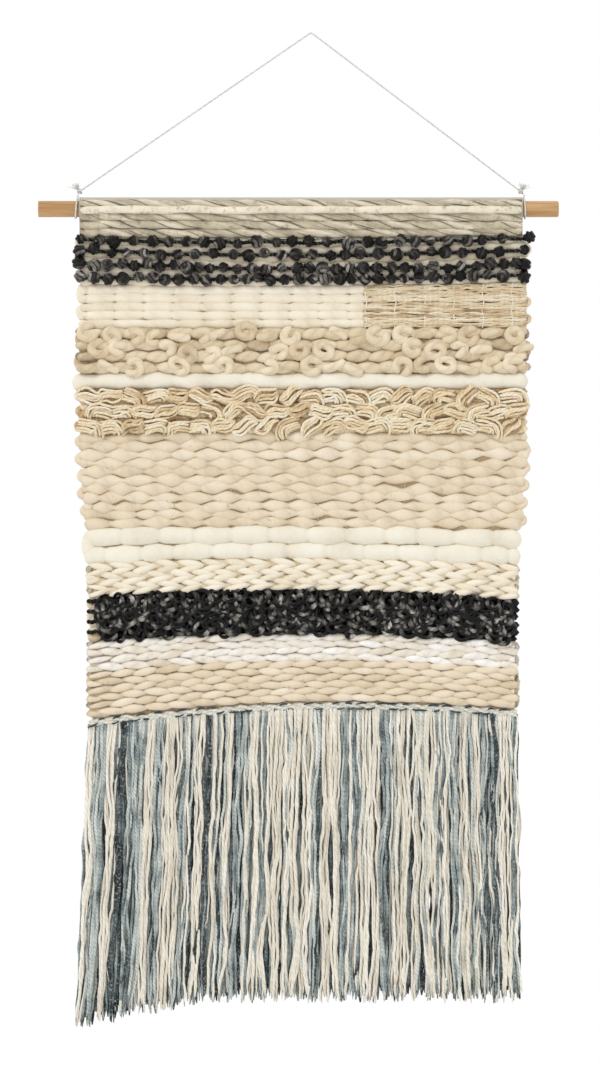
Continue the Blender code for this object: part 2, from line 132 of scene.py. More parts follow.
def srgb(red, green, blue):
    """A colour given as 0 to 255 display values, as the linear values that shaders take."""
    shares = np.array((red, green, blue)) / 255
    linear = np.where(shares <= 0.04045, shares / 12.92, ((shares + 0.055) / 1.055) ** 2.4)
    return (*(float(value) for value in linear), 1.0)


def cloth_edges(drop):
    """The panel's left and right edges at a distance below the dowel's axis."""
    part = np.clip((np.asarray(drop) - NARROWING_START) / NARROWING_LENGTH, 0.0, 1.0)
    ease = part * part * (3 - 2 * part)
    return TOP_LEFT + (FOOT_LEFT - TOP_LEFT) * ease, TOP_RIGHT + (FOOT_RIGHT - TOP_RIGHT) * ease


def edges_at(drop):
    """The two edges at a single drop, as plain numbers."""
    return tuple(float(edge) for edge in cloth_edges(drop))


def on_cloth(x, drop, out):
    """Points in the frame of the CAD model from the cloth's own coordinates."""
    x, drop, out = np.broadcast_arrays(np.asarray(x, float), drop, out)
    left, right = cloth_edges(drop)
    across = np.clip((x - (left + right) / 2) / ((right - left) / 2), -1.15, 1.15)
    low = np.interp(drop, LIFT_DROPS, LIFT_LEFT)
    middle = np.interp(drop, LIFT_DROPS, LIFT_MIDDLE)
    high = np.interp(drop, LIFT_DROPS, LIFT_RIGHT)
    lift = middle + (high - low) / 2 * across + ((high + low) / 2 - middle) * across**2
    return np.stack([x, WARP_Y - out, AXIS_Z - drop + lift], axis=-1)


def wander(rng, count, knots, size):
    """A smooth random curve of count values, about size high, with that many swings."""
    values = rng.normal(0.0, size, max(int(knots), 2) + 3)
    at = np.linspace(1.0, len(values) - 2.0, count)
    first = np.floor(at).astype(int)
    part = at - first
    ease = part * part * (3 - 2 * part)
    return values[first] * (1 - ease) + values[np.minimum(first + 1, len(values) - 1)] * ease


# ---- yarn as tubes ----


class Soup:
    """Tubes of yarn gathered into one mesh. Each has a tint from 0 to 1 and a UV map: u round
    the yarn, and v along it in metres."""

    def __init__(self):
        self.points, self.faces, self.uvs, self.tints = [], [], [], []
        self.count = 0

    def add_grid(self, grid, u, v, tint, u_step=None, closed=True):
        """Rings of points with shape (tubes, rings, sides, 3), joined into tubes, or into open
        sheets."""
        tubes, rings, sides, _ = grid.shape
        last = None if closed else -1
        index = np.arange(tubes * rings * sides).reshape(tubes, rings, sides) + self.count
        after = np.roll(index, -1, axis=2)
        u = np.broadcast_to(u, index.shape)
        v = np.broadcast_to(v[..., None], index.shape)
        u_after = u + (u_step or 1.0 / sides)
        near, far = np.s_[:, :-1, :last], np.s_[:, 1:, :last]
        quads = np.stack([index[near], after[near], after[far], index[far]], axis=-1)
        us = np.stack([u[near], u_after[near], u_after[far], u[far]], axis=-1)
        vs = np.stack([v[near], v[near], v[far], v[far]], axis=-1)
        self.faces.append(quads.reshape(-1, 4))
        self.uvs.append(np.stack([us, vs], axis=-1).reshape(-1, 2))
        self.points.append(grid.reshape(-1, 3))
        tint = np.asarray(tint, float)
        if tint.ndim < 2:
            tint = np.broadcast_to(tint.reshape(-1, 1), (tubes, rings))
        self.tints.append(np.repeat(tint.reshape(-1), sides))
        self.count += index.size

    def add(self, paths, radius, sides=7, tint=0.5, flat=1.0, deep=1.0):
        """Round yarns along one path, or along paths of shape (tubes, points, 3). flat and deep
        scale the yarn's width across the front and its depth."""
        paths = np.asarray(paths, float)
        if paths.ndim == 2:
            paths = paths[None]
            tint = np.broadcast_to(tint, paths.shape[:2])
        radius = np.broadcast_to(radius, paths.shape[:2])[..., None, None]
        front, side = ring_frames(paths)
        turns = np.arange(sides) / sides
        angles = turns * math.tau
        depth = radius * deep * np.cos(angles)[None, None, :, None]
        width = radius * flat * np.sin(angles)[None, None, :, None]
        grid = paths[:, :, None] + front[:, :, None] * depth + side[:, :, None] * width
        self.add_grid(grid, turns, lengths_along(paths), tint)

    def arrays(self):
        return (
            np.concatenate(self.points),
            np.concatenate(self.faces),
            np.concatenate(self.uvs).reshape(-1, 4, 2),
            np.concatenate(self.tints),
        )


def lengths_along(path):
    """The length of a path, or of each of several, from its start to each of its points."""
    steps = np.linalg.norm(np.diff(path, axis=-2), axis=-1)
    return np.concatenate([np.zeros((*steps.shape[:-1], 1)), np.cumsum(steps, axis=-1)], axis=-1)


def ring_frames(paths):
    """Two unit vectors across each path, carried along it without twisting. The first starts
    towards the front, or up where the path itself runs towards the front."""
    ahead = np.gradient(paths, axis=1)
    ahead /= np.linalg.norm(ahead, axis=2, keepdims=True) + 1e-12
    towards_front = np.abs(ahead[:, 0, 1]) > 0.9
    current = np.where(towards_front[:, None], (0.0, 0.0, 1.0), (0.0, -1.0, 0.0))
    front = np.empty_like(paths)
    for i in range(paths.shape[1]):
        along = ahead[:, i]
        current = current - (current * along).sum(axis=1, keepdims=True) * along
        current /= np.linalg.norm(current, axis=1, keepdims=True) + 1e-12
        front[:, i] = current
    return front, np.cross(ahead, front)


def round_ends(count, share):
    """A radius profile along count points: 1, falling to nearly 0 over a share at each end."""
    t = np.linspace(0.0, 1.0, count)
    inward = np.clip(np.minimum(t, 1 - t) / share, 0.0, 1.0)
    return np.sqrt(np.clip(1 - (1 - inward) ** 2, 0.0004, 1.0))


def tilted(a, b, angle):
    """Across and up, from a shape's own two coordinates when it is turned by an angle."""
    return a * np.cos(angle) - b * np.sin(angle), a * np.sin(angle) + b * np.cos(angle)


# ---- meshes and pieces ----


def mesh_object(name, points, faces, uvs, tints, material):
    mesh = bpy.data.meshes.new(name)
    mesh.vertices.add(len(points))
    mesh.vertices.foreach_set("co", points.astype(np.float32).ravel())
    mesh.loops.add(len(faces) * 4)
    mesh.loops.foreach_set("vertex_index", faces.astype(np.int32).ravel())
    mesh.polygons.add(len(faces))
    mesh.polygons.foreach_set("loop_start", np.arange(0, len(faces) * 4, 4, dtype=np.int32))
    mesh.polygons.foreach_set("use_smooth", np.ones(len(faces), bool))
    mesh.uv_layers.new(name="yarn").data.foreach_set("uv", uvs.astype(np.float32).ravel())
    tint = mesh.attributes.new("tint", "FLOAT", "POINT")
    tint.data.foreach_set("value", tints.astype(np.float32))
    mesh.update(calc_edges=True)
    mesh.materials.append(material)
    obj = bpy.data.objects.new(name, mesh)
    bpy.context.scene.collection.objects.link(obj)
    return obj


def chosen(arrays, keep):
    """The faces where keep is true, with only their own points."""
    points, faces, uvs, tints = arrays
    used, index = np.unique(faces[keep], return_inverse=True)
    return points[used], index.reshape(-1, 4), uvs[keep], tints[used]


def whole_piece(name, soup, slot, body, node, material=None):
    """A piece that rides on one body. It is made of its slot's yarn unless told otherwise."""
    obj = mesh_object(name, *soup.arrays(), material or yarn(slot))
    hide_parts(node)
    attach(obj, body)
    return obj


ZONE_ENDS = [(a + b) / 2 for a, b in zip([0.0340] + BEND_DROPS, BEND_DROPS + [FRINGE_DROP])]


def cloth_pieces(name, soup, slot, *nodes, material=None):
    """Cuts one band of yarn between the hinges, where the cloth stays stiff. A piece that comes
    within
    BEND_REACH of the hinge inside it is left unattached at rest; the others ride on one body."""
    arrays = soup.arrays()
    drops = AXIS_Z - arrays[0][arrays[1]][..., 2].mean(axis=1)
    zones = np.searchsorted(ZONE_ENDS, drops)
    made = []
    for zone in np.unique(zones):
        keep = zones == zone
        label = name if keep.all() else f"{name}_{len(made) + 1}"
        obj = mesh_object(label, *chosen(arrays, keep), material or yarn(slot))
        made.append(obj)
        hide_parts(*nodes)
        if not 0 < zone <= len(BEND_DROPS):
            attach(obj, BEND_BODIES[0 if zone == 0 else -1])
            continue
        hinge = BEND_DROPS[zone - 1]
        above, below = BEND_BODIES[zone - 1], BEND_BODIES[zone]
        if drops[keep].min() > hinge + BEND_REACH:
            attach(obj, below)
        elif drops[keep].max() < hinge - BEND_REACH:
            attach(obj, above)
        else:
            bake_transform(obj)
    return made


# ---- materials ----


class Shader:
    """A short way to build a Principled material from nodes."""

    def __init__(self, name, roughness, sheen=0.0, specular=0.3):
        self.material = bpy.data.materials.new(name)
        self.material.use_nodes = True
        self.tree = self.material.node_tree
        self.surface = self.tree.nodes["Principled BSDF"].inputs
        self.surface["Roughness"].default_value = roughness
        self.surface["Specular IOR Level"].default_value = specular
        self.surface["Sheen Weight"].default_value = sheen
        self.surface["Sheen Roughness"].default_value = 0.5

    def node(self, kind, inputs=(), **settings):
        """A node with its settings, and with its inputs set or linked."""
        made = self.tree.nodes.new(kind)
        for key, value in settings.items():
            setattr(made, key, value)
        for key, value in dict(inputs).items():
            if isinstance(value, bpy.types.NodeSocket):
                self.tree.links.new(value, made.inputs[key])
            else:
                made.inputs[key].default_value = value
        return made

    def math(self, operation, a, b=0.0, clamp=False):
        inputs = {0: a, 1: b}
        return self.node("ShaderNodeMath", inputs, operation=operation, use_clamp=clamp).outputs[0]

    def plus(self, a, b, clamp=False):
        return self.math("ADD", a, b, clamp)

    def minus(self, a, b):
        return self.math("SUBTRACT", a, b)

    def times(self, a, b, clamp=False):
        return self.math("MULTIPLY", a, b, clamp)

    def ramp(self, factor, stops):
        made = self.node("ShaderNodeValToRGB", {0: factor})
        elements = made.color_ramp.elements
        while len(elements) < len(stops):
            elements.new(0.5)
        for element, (place, colour) in zip(elements, stops):
            element.position = place
            element.color = colour
        return made.outputs[0]

    def mix(self, factor, a, b, blend="MIX"):
        inputs = {0: factor, 6: a, 7: b}
        made = self.node("ShaderNodeMix", inputs, data_type="RGBA", blend_type=blend)
        return made.outputs[2]

    def noise(self, vector, scale, detail=2.0, roughness=0.5):
        inputs = {"Vector": vector, "Scale": scale, "Detail": detail, "Roughness": roughness}
        return self.node("ShaderNodeTexNoise", inputs).outputs[0]

    def place(self):
        return self.node("ShaderNodeTexCoord").outputs["Object"]

    def yarn_map(self):
        """The two coordinates of the yarn's UV map, and its tint."""
        uv_map = self.node("ShaderNodeUVMap", uv_map="yarn").outputs[0]
        split = self.node("ShaderNodeSeparateXYZ", {"Vector": uv_map}).outputs
        tint = self.node("ShaderNodeAttribute", attribute_name="tint").outputs["Fac"]
        return split[0], split[1], tint

    def finish(self, colour, height, strength, distance=0.001):
        inputs = {"Height": height, "Strength": strength, "Distance": distance}
        bump = self.node("ShaderNodeBump", inputs).outputs[0]
        self.tree.links.new(bump, self.surface["Normal"])
        self.tree.links.new(colour, self.surface["Base Color"])
        return self.material


def stops(colours, places=None):
    """Ramp stops from display colours, evenly spread unless their places are given."""
    places = places or [i / (len(colours) - 1) for i in range(len(colours))]
    return [(place, srgb(*colour)) for place, colour in zip(places, colours)]


FIBRES_ALONG = 224.0
GROOVE_SHADE = srgb(150, 125, 105)


def yarn_material(
    name, colours, places=None, roughness=0.9, specular=0.2, sheen=0.25, plies=2, twist=0.012,
    groove=0.35, bump=0.6, fleck=None, fleck_share=0.42, fleck_scale=130.0,
):
    """Spun yarn: plies that wind round it, fine fibres that follow them, a tint that changes
    from yarn to yarn and slowly along each one, and flecks of another colour."""
    s = Shader(name, roughness, sheen, specular)
    u, v, tint = s.yarn_map()
    place = s.place()
    turn = s.plus(s.times(u, float(plies)), s.math("DIVIDE", v, twist))
    ridge = s.math("ABSOLUTE", s.math("SINE", s.times(turn, math.pi)))
    ridge = s.math("POWER", ridge, 0.6)
    fine = s.node("ShaderNodeCombineXYZ", {"X": s.times(turn, 9.0), "Y": s.times(v, FIBRES_ALONG)})
    fibres = s.noise(fine.outputs[0], 1.0, 3.0, 0.6)
    patch = s.noise(place, 55.0, 3.0, 0.6)
    spread = s.times(s.minus(patch, 0.5), 0.8)
    spread = s.plus(spread, s.times(s.minus(fibres, 0.5), 0.5))
    colour = s.ramp(s.plus(tint, spread, True), stops(colours, places))
    if fleck:
        spots = s.noise(place, fleck_scale, 4.0, 0.65)
        spots = s.times(s.minus(spots, 1 - fleck_share), 6.0, True)
        colour = s.mix(s.times(spots, 0.75), colour, srgb(*fleck))
    shade = s.times(s.minus(1.0, ridge), groove)
    colour = s.mix(shade, colour, s.mix(1.0, colour, GROOVE_SHADE, "MULTIPLY"))
    return s.finish(colour, s.plus(ridge, s.times(fibres, 0.7)), bump)


YARNS = {
    "cord_cotton": dict(
        colours=((196, 196, 192), (222, 222, 218), (240, 240, 236)),
        plies=3, twist=0.004, groove=0.3, bump=0.3,
    ),
    "marled_wool": dict(
        colours=((160, 150, 126), (200, 189, 164), (236, 226, 206)),
        plies=1, twist=0.05, groove=0.1, bump=0.4, fleck=(138, 128, 108), fleck_share=0.45,
    ),
    "marled_thread": dict(colours=((104, 96, 80), (140, 130, 110), (168, 158, 136)), twist=0.003),
    "warp_cotton": dict(colours=((190, 174, 144), (210, 196, 166)), plies=3, twist=0.004),
    # The light greys at the top of the charcoal ramp are painted highlights on the glossy black
    # yarn; the darks are the yarn's own colour.
    "charcoal_wool": dict(
        colours=((4, 4, 4), (18, 17, 16), (56, 54, 51), (128, 125, 119), (192, 190, 184)),
        places=(0.0, 0.36, 0.56, 0.76, 1.0),
        roughness=0.36, specular=0.22, sheen=0.0, twist=0.006, groove=0.6, bump=0.8,
    ),
    "cream_wool": dict(
        colours=((204, 184, 150), (224, 211, 186), (236, 226, 205), (240, 232, 214)),
        plies=1, twist=0.03, groove=0.12, bump=0.35,
    ),
    "tan_wool": dict(
        colours=(
            (164, 136, 104), (208, 182, 144), (226, 208, 174), (236, 224, 198), (240, 232, 216),
        ),
        places=(0.0, 0.22, 0.45, 0.75, 1.0),
        roughness=0.7, twist=0.006, groove=0.2, fleck=(160, 130, 104), fleck_share=0.37,
    ),
    "curl_wool": dict(
        colours=((178, 156, 124), (216, 198, 166), (236, 222, 196)),
        twist=0.018, groove=0.22, fleck=(150, 146, 134), fleck_share=0.38,
    ),
    "roving_wool": dict(
        colours=((214, 205, 184), (231, 224, 206), (238, 233, 218)),
        plies=1, twist=0.08, groove=0.05, bump=0.25,
    ),
    "strand_wool": dict(
        colours=(
            (146, 114, 76), (214, 187, 146), (236, 217, 180), (243, 231, 204), (243, 236, 220),
        ),
        places=(0.0, 0.25, 0.5, 0.8, 1.0),
        roughness=0.75, twist=0.006, groove=0.25, fleck=(150, 118, 92), fleck_share=0.36,
    ),
    "natural_wool": dict(
        colours=((200, 182, 152), (224, 208, 181), (235, 223, 202)),
        plies=1, twist=0.03, groove=0.16, bump=0.5, fleck=(160, 156, 148), fleck_share=0.38,
    ),
    "ivory_wool": dict(
        colours=((206, 192, 168), (228, 218, 200), (238, 232, 222), (246, 244, 240)),
        roughness=0.6, specular=0.35, plies=1, twist=0.02, groove=0.15, bump=0.5,
        fleck=(200, 182, 152),
    ),
    "fringe_cream": dict(
        colours=((190, 182, 164), (222, 214, 197), (237, 231, 216), (243, 239, 227)),
        twist=0.009, groove=0.2, fleck=(182, 175, 158), fleck_share=0.38, fleck_scale=420.0,
    ),
    "fringe_blue": dict(
        colours=((28, 38, 42), (70, 84, 88), (142, 155, 156), (188, 197, 194), (216, 221, 215)),
        twist=0.005, groove=0.4, bump=0.7,
        fleck=(214, 217, 210), fleck_share=0.47, fleck_scale=420.0,
    ),
    "header_pale": dict(
        colours=((196, 202, 195), (220, 222, 212), (236, 232, 220)),
        twist=0.006, fleck=(226, 218, 200), fleck_share=0.46,
    ),
    "header_dark": dict(colours=((26, 36, 42), (50, 66, 74), (84, 100, 108)), twist=0.003),
}


def yarn(name):
    """The material of one kind of yarn, made when it is first asked for."""
    made = bpy.data.materials.get(f"{name}_detail")
    return made or yarn_material(f"{name}_detail", **YARNS[name])


def wood_material():
    s = Shader("dowel_wood_detail", 0.5, 0.0, 0.35)
    place = s.place()
    layers = []
    for squeeze, detail, roughness in (
        ((9.0, 190.0, 190.0), 5.0, 0.65),
        ((3.0, 60.0, 60.0), 2.0, 0.5),
    ):
        stretched = s.node("ShaderNodeMapping", {"Vector": place, "Scale": squeeze}).outputs[0]
        layers.append(s.noise(stretched, 1.0, detail, roughness))
    grain, bands = layers
    browns = (112, 76, 42), (170, 128, 82), (192, 152, 106), (214, 178, 134)
    mixed = s.plus(s.times(grain, 0.7), s.times(bands, 0.5))
    colour = s.ramp(mixed, stops(browns, (0.30, 0.47, 0.62, 0.80)))
    return s.finish(colour, grain, 0.25, 0.0004)


# ---- hanging cord, loops and knots ----


def tangent_angle(centre, radius, point, side):
    """The angle at which a line from the point touches the circle, on the side asked for."""
    away = (point[0] - centre[0], point[1] - centre[1])
    facing = math.atan2(away[1], away[0])
    return facing + side * math.acos(radius / math.hypot(*away))


def knot_place(node):
    low, high = corners(node)
    return (low + high) / 2, (high[2] - low[2]) / 2


def straight(start, end, step):
    count = max(2, round(float(np.linalg.norm(end - start)) / step))
    return [start + (end - start) * i / count for i in range(count + 1)]


def cord_route(left_knot, right_knot, knot_radius):
    """The cord's centreline from knot to knot, over the nail, as in part.py."""
    turn = CORD_RADIUS + NAIL_RADIUS
    centre = (0.0, -NAIL_RADIUS)
    left_angle = tangent_angle(centre, turn, (left_knot[0], left_knot[2]), -1) % math.tau
    right_angle = tangent_angle(centre, turn, (right_knot[0], right_knot[2]), 1)
    over = []
    for i in range(7):
        angle = left_angle + (right_angle - left_angle) * i / 6
        x, z = turn * math.cos(angle), centre[1] + turn * math.sin(angle)
        over.append(np.array((x, 0.0, z)))
    reach = knot_radius + PIECE_GAP
    left_way = over[0] - left_knot
    right_way = over[-1] - right_knot
    left_end = left_knot + left_way / np.linalg.norm(left_way) * reach
    right_end = right_knot + right_way / np.linalg.norm(right_way) * reach
    left_leg = straight(left_end, over[0], CORD_STEP)
    right_leg = straight(over[-1], right_end, CORD_STEP)
    return np.array(left_leg[:-1] + over + right_leg[1:])


def resampled(path, count):
    """The path with its points evenly spaced along it."""
    along = lengths_along(path)
    wanted = np.linspace(0.0, along[-1], count)
    return np.stack([np.interp(wanted, along, path[:, k]) for k in range(3)], axis=1)


def add_plied(
    soup, path, radius, plies, pitch, tints, sides=6, points_per_turn=9, thin=1.0, deep=1.0
):
    """A yarn of several plies wound round each other along one path. thin flattens the winding
    and deep each ply, from front to back."""
    length = lengths_along(path)[-1]
    path = resampled(path, int(length / pitch * points_per_turn) + 2)
    front, side = ring_frames(path[None])
    turn = lengths_along(path) / pitch * math.tau
    ply_radius = radius / (1 + 1 / math.sin(math.pi / plies)) if plies > 1 else radius
    off = radius - ply_radius
    for k in range(plies):
        phase = (turn + math.tau * k / plies)[:, None]
        strand = path + off * (thin * np.cos(phase) * front[0] + np.sin(phase) * side[0])
        soup.add(strand, ply_radius * 1.12, sides, tints[k % len(tints)], deep=deep)


def loop_route(knot, knot_radius, node):
    """A loop from the knot's underside, round the dowel and back, as in part.py."""
    low, high = corners(node)
    radius = DOWEL_RADIUS + LOOP_CLEARANCE + CORD_RADIUS
    reach = knot_radius + PIECE_GAP + CORD_RADIUS / 2
    spread = LOOP_STRAND_SPREAD
    top = knot[2] - math.sqrt(reach**2 - spread**2) - AXIS_Z
    first = tangent_angle((0.0, 0.0), radius, (-spread, top), 1)
    last = tangent_angle((0.0, 0.0), radius, (spread, top), -1) + math.tau
    angles = np.linspace(first, last, LOOP_ARC_POINTS)
    y = np.concatenate([[-spread], radius * np.cos(angles), [spread]])
    z = np.concatenate([[top], radius * np.sin(angles), [top]])
    outward = 1.0 if knot[0] > 0 else -1.0
    far = (high[0] if outward > 0 else low[0]) - outward * CORD_RADIUS
    near = (low[0] if outward > 0 else high[0]) + outward * CORD_RADIUS
    lean = (z + radius) / (top + radius)
    return np.stack([far + (near - far) * lean, y, AXIS_Z + z], axis=1)


def add_knot(soup, place, radius, way, rng):
    """An overhand knot: wraps of cord pulled into a lump, with two frayed tails."""
    t = np.linspace(0.0, 1.0, 90)
    wind = t * math.tau * 3.5
    sway = (radius - CORD_RADIUS * 0.9) * (0.75 + 0.25 * np.cos(wind * 0.6))
    x = place[0] + sway * np.cos(wind) * 0.95
    y = place[1] + sway * np.sin(wind)
    z = place[2] + (t - 0.5) * radius * 1.3 + 0.0006 * np.sin(wind * 1.3)
    add_plied(soup, np.stack([x, y, z], axis=1), CORD_RADIUS, 3, 0.0045, (0.5, 0.7, 0.4), 5)
    for tail in range(2):
        for _ in range(22):
            length = rng.uniform(0.004, 0.0095)
            lean = rng.normal((0.25 + 0.45 * tail) * way, 0.28)
            s = np.linspace(0.0, 1.0, 7)
            bend = rng.normal(0.0, 0.0022)
            fibre_x = place[0] + way * 0.001 + length * s * lean + bend * s**2
            fibre_y = place[1] - 0.001 + rng.normal(0.0, 0.003) * s
            fibre_z = place[2] + radius * 0.4 + length * s * math.cos(lean)
            path = np.stack([fibre_x, fibre_y, fibre_z], axis=1)
            soup.add(path, 0.00020, 4, rng.uniform(0.2, 0.9))


def build_hanger():
    left_knot, radius = knot_place("cord_knot_left")
    right_knot, _ = knot_place("cord_knot_right")
    route = cord_route(left_knot, right_knot, radius)
    soup = Soup()
    add_plied(soup, route, CORD_RADIUS, 3, CORD_PITCH, (0.45, 0.75, 0.3))
    cord = whole_piece("cord_strands", soup, "cord_cotton", "hanger", "hanging_cord")
    ends = []
    for side, knot, way, seed in (("left", left_knot, -1.0, 7), ("right", right_knot, 1.0, 8)):
        wraps, loop = Soup(), Soup()
        add_knot(wraps, knot, radius, way, np.random.default_rng(seed))
        path = loop_route(knot, radius, f"cord_loop_{side}")
        add_plied(loop, path, CORD_RADIUS * 1.05, 3, CORD_PITCH, (0.8, 0.95, 0.7))
        ends += [
            whole_piece(f"knot_{side}_wraps", wraps, "cord_cotton", "hanger", f"cord_knot_{side}"),
            whole_piece(f"loop_{side}_strands", loop, "cord_cotton", "hanger", f"cord_loop_{side}"),
        ]


# ---- weft rows ----


def add_weft_row(
    soup, drop, rng, half, front, back, start=0.0, x_low=None, x_high=None, column=COLUMN,
    step=0.0021, jitter=0.0016, pinch=0.55, notch=0.0030, wave=0.20, uneven=0.05, sag=0.0005,
    cap=0.006, sides=12, tint=0.5,
):
    """One row of soft weft: floats in front of the warp, pinched where it dips behind, and the
    other way round at the back. half is its half height, and front and back are its two depths.
    Each pinch takes away a share of the yarn over the length notch, and cap rounds the ends."""
    left, right = edges_at(drop)
    ragged_left, ragged_right = left - rng.uniform(0.0, 0.003), right + rng.uniform(0.0, 0.004)
    x_low = ragged_left if x_low is None else x_low
    x_high = ragged_right if x_high is None else x_high
    length = x_high - x_low
    x = np.linspace(x_low, x_high, int(length / step) + 1)
    jitters = wander(rng, len(x), length / 0.05, jitter)
    phase = (x - left - start + jitters) / column
    to_pinch = np.abs(phase - np.round(phase)) * column
    to_back_pinch = np.abs(phase - 0.5 - np.round(phase - 0.5)) * column
    swell = np.cos(phase * math.tau)
    dent = pinch * np.exp(-((to_pinch / notch) ** 2))
    back_dent = pinch * np.exp(-((to_back_pinch / notch) ** 2))
    rough = 1 + wander(rng, len(x), length / 0.012, uneven)
    to_end = np.clip(np.minimum(x - x_low, x_high - x) / cap, 0, 1)
    end_cap = np.sqrt(np.clip(1 - (1 - to_end) ** 2, 0.0004, 1))
    height = half * (1 - wave * swell) * (1 - 0.45 * dent) * rough
    deep_front = front * (0.90 - 0.10 * swell) * (1 - dent) * rough
    deep_back = back * (0.90 + 0.10 * swell) * (1 - back_dent) * rough
    turns = np.arange(sides) / sides
    facing = np.cos(turns * math.tau)[None, :]
    rise = np.sin(turns * math.tau)[None, :]
    depth = np.where(facing > 0, deep_front[:, None], deep_back[:, None]) * end_cap[:, None]
    middle = drop + wander(rng, len(x), length / 0.045, sag)
    drops = middle[:, None] - rise * (height * end_cap)[:, None]
    grid = on_cloth(np.broadcast_to(x[:, None], drops.shape), drops, facing * depth)
    tints = tint + wander(rng, len(x), length / 0.03, 0.12)
    soup.add_grid(grid[None], turns, (x - x_low)[None], tints[None])


def add_turns(soup, drops, half, side, reach, rng, tint):
    """Loops at one edge of the cloth, where the yarn turns from a row into the next one."""
    t = np.linspace(-1.0, 1.0, 15)
    for above, below in zip(drops[:-1:2], drops[1::2]):
        edge = edges_at((above + below) / 2)[0 if side < 0 else 1]
        far = reach * rng.uniform(0.75, 1.1)
        round_part = np.sqrt(np.clip(1 - t**2, 0.0, 1.0))
        x = edge + side * ((far + 0.007) * round_part - 0.007 - half * 0.8)
        drop = (above + below) / 2 + (below - above) / 2 * np.sign(t) * np.abs(t) ** 0.8
        path = on_cloth(x, drop, 0.0008 * np.sin(t * 3))
        soup.add(path, half * rng.uniform(0.74, 0.86), 9, tint, deep=0.85)


def weft_block(
    soup, band, rows, seed, offset_rows=True, turns=0.0062, overlap=1.12, start=0.0, tint=0.5,
    **row_shape,
):
    """Rows of weft that fill a band of the cloth, with the turns of the yarn at both edges."""
    rng = np.random.default_rng(seed)
    pitch = (band[1] - band[0]) / rows
    half = pitch / 2 * overlap
    drops = band[0] + pitch * (np.arange(rows) + 0.5)
    for row, drop in enumerate(drops):
        shift = COLUMN * (0.5 if offset_rows and row % 2 else 0.0) + rng.normal(0.0, 0.0012)
        row_tint = tint + rng.normal(0.0, 0.10)
        add_weft_row(soup, drop, rng, half, start=start + shift, tint=row_tint, **row_shape)
    if turns:
        add_turns(soup, drops, pitch / 2, -1, turns, rng, tint - 0.1)
        if "x_high" not in row_shape:
            add_turns(soup, drops[1:], pitch / 2, 1, turns, rng, tint - 0.1)


# ---- stitches: short tapered stretches of yarn ----


def add_stitches(soup, x, drop, length, half, out, slope, rng, tint=0.5, dome=0.003, sides=8):
    """Tapered stitches lying along the rows, each with its two ends tucked into the cloth."""
    count = len(x)
    t = np.linspace(0.0, 1.0, 13)
    lengths = length * rng.uniform(0.92, 1.1, count)
    slopes = slope + rng.normal(0.0, 0.03, count)
    along = (t[None] - 0.5) * lengths[:, None]
    left, right = edges_at(drop)
    xs = np.clip(x[:, None] + along, left + 0.002, right - 0.002)
    drops = drop + slopes[:, None] * (xs - x[:, None]) + rng.normal(0.0, 0.0005, count)[:, None]
    outs = out + dome * (4 * t * (1 - t))[None] - 0.5 * dome
    radius = half * (np.sin(np.pi * np.clip(t, 0.012, 0.988)) ** 0.5)[None]
    radius = radius * rng.uniform(0.9, 1.08, count)[:, None]
    tints = tint + rng.normal(0.0, 0.16, count)
    soup.add(on_cloth(xs, drops, outs), radius, sides, tints, deep=0.75)


def stitch_columns(drop, pitch, start, rng, overhang=0.0):
    """Places for stitches in a row, a pitch apart from edge to edge."""
    left, right = edges_at(drop)
    count = int((right - left + 2 * overhang) / pitch) + 1
    x = left - overhang + start + np.arange(count) * pitch
    x = x[x < right + overhang]
    return x + rng.normal(0.0, pitch * 0.035, len(x))


def chain_rows(soup, band, rows, seed, pitch, slope, out, thick, tint):
    """Rows of soumak. Each is two lines of slanting stitches that meet in points, like a chain."""
    rng = np.random.default_rng(seed)
    height = (band[1] - band[0]) / rows
    half = height * 0.27 * thick
    for row in range(rows):
        for half_row, tilt in enumerate((slope, -slope)):
            drop = band[0] + height * (row + 0.25 + 0.50 * half_row)
            x = stitch_columns(drop, pitch, pitch * 0.5 * (row % 2), rng, pitch * 0.5)
            add_stitches(soup, x, drop, pitch * 1.16, half, out, tilt, rng, tint)


def slanting_rows(soup, band, rows, seed, pitch, slope, out, thick, tint):
    """Rows of soumak. Each is one line of lens-shaped stitches, slanting by turns."""
    rng = np.random.default_rng(seed)
    height = (band[1] - band[0]) / rows
    half = height / 2 * thick
    for row in range(rows):
        drop = band[0] + height * (row + 0.5)
        x = stitch_columns(drop, pitch, pitch * 0.5 * (row % 2), rng, pitch * 0.5)
        tilt = slope * (1 if row % 2 else -1)
        add_stitches(soup, x, drop, pitch * 1.30, half, out, tilt, rng, tint)


# ---- rod pocket and marled rows ----

POCKET_CLOTH = 0.0016
POCKET_PROUD = 0.0020
POCKET_INNER = POCKET_HIGH[2] - AXIS_Z + POCKET_PROUD - POCKET_CLOTH
POCKET_TAIL_DROP = 0.0340
MARLED_RADIUS = 0.0150
MARLED_INSET = 0.0012  # keeps the rows clear of the cord's loops when the panel swings
MARLED_ROWS = (
    # drop, half height, and the length of one twist, which is 0 in a row of plain cream
    (-0.0058, 0.0042, 0.060),
    (0.0016, 0.0041, 0.0),
    (0.0092, 0.0050, 0.076),
    (0.0186, 0.0054, 0.068),
    (0.0284, 0.0058, 0.080),
)
# Where the dark threads lie round a yarn, as a share of a turn, and how thick they are.
MARLED_THREADS = ((0.24, 0.00060), (0.30, 0.00040), (0.74, 0.00050))
MARLED_OUT_DROPS = (0.008, 0.013, 0.018, 0.023, 0.028, 0.034)
MARLED_OUTS = (0.0117, 0.0106, 0.0090, 0.0074, 0.0060, 0.0052)


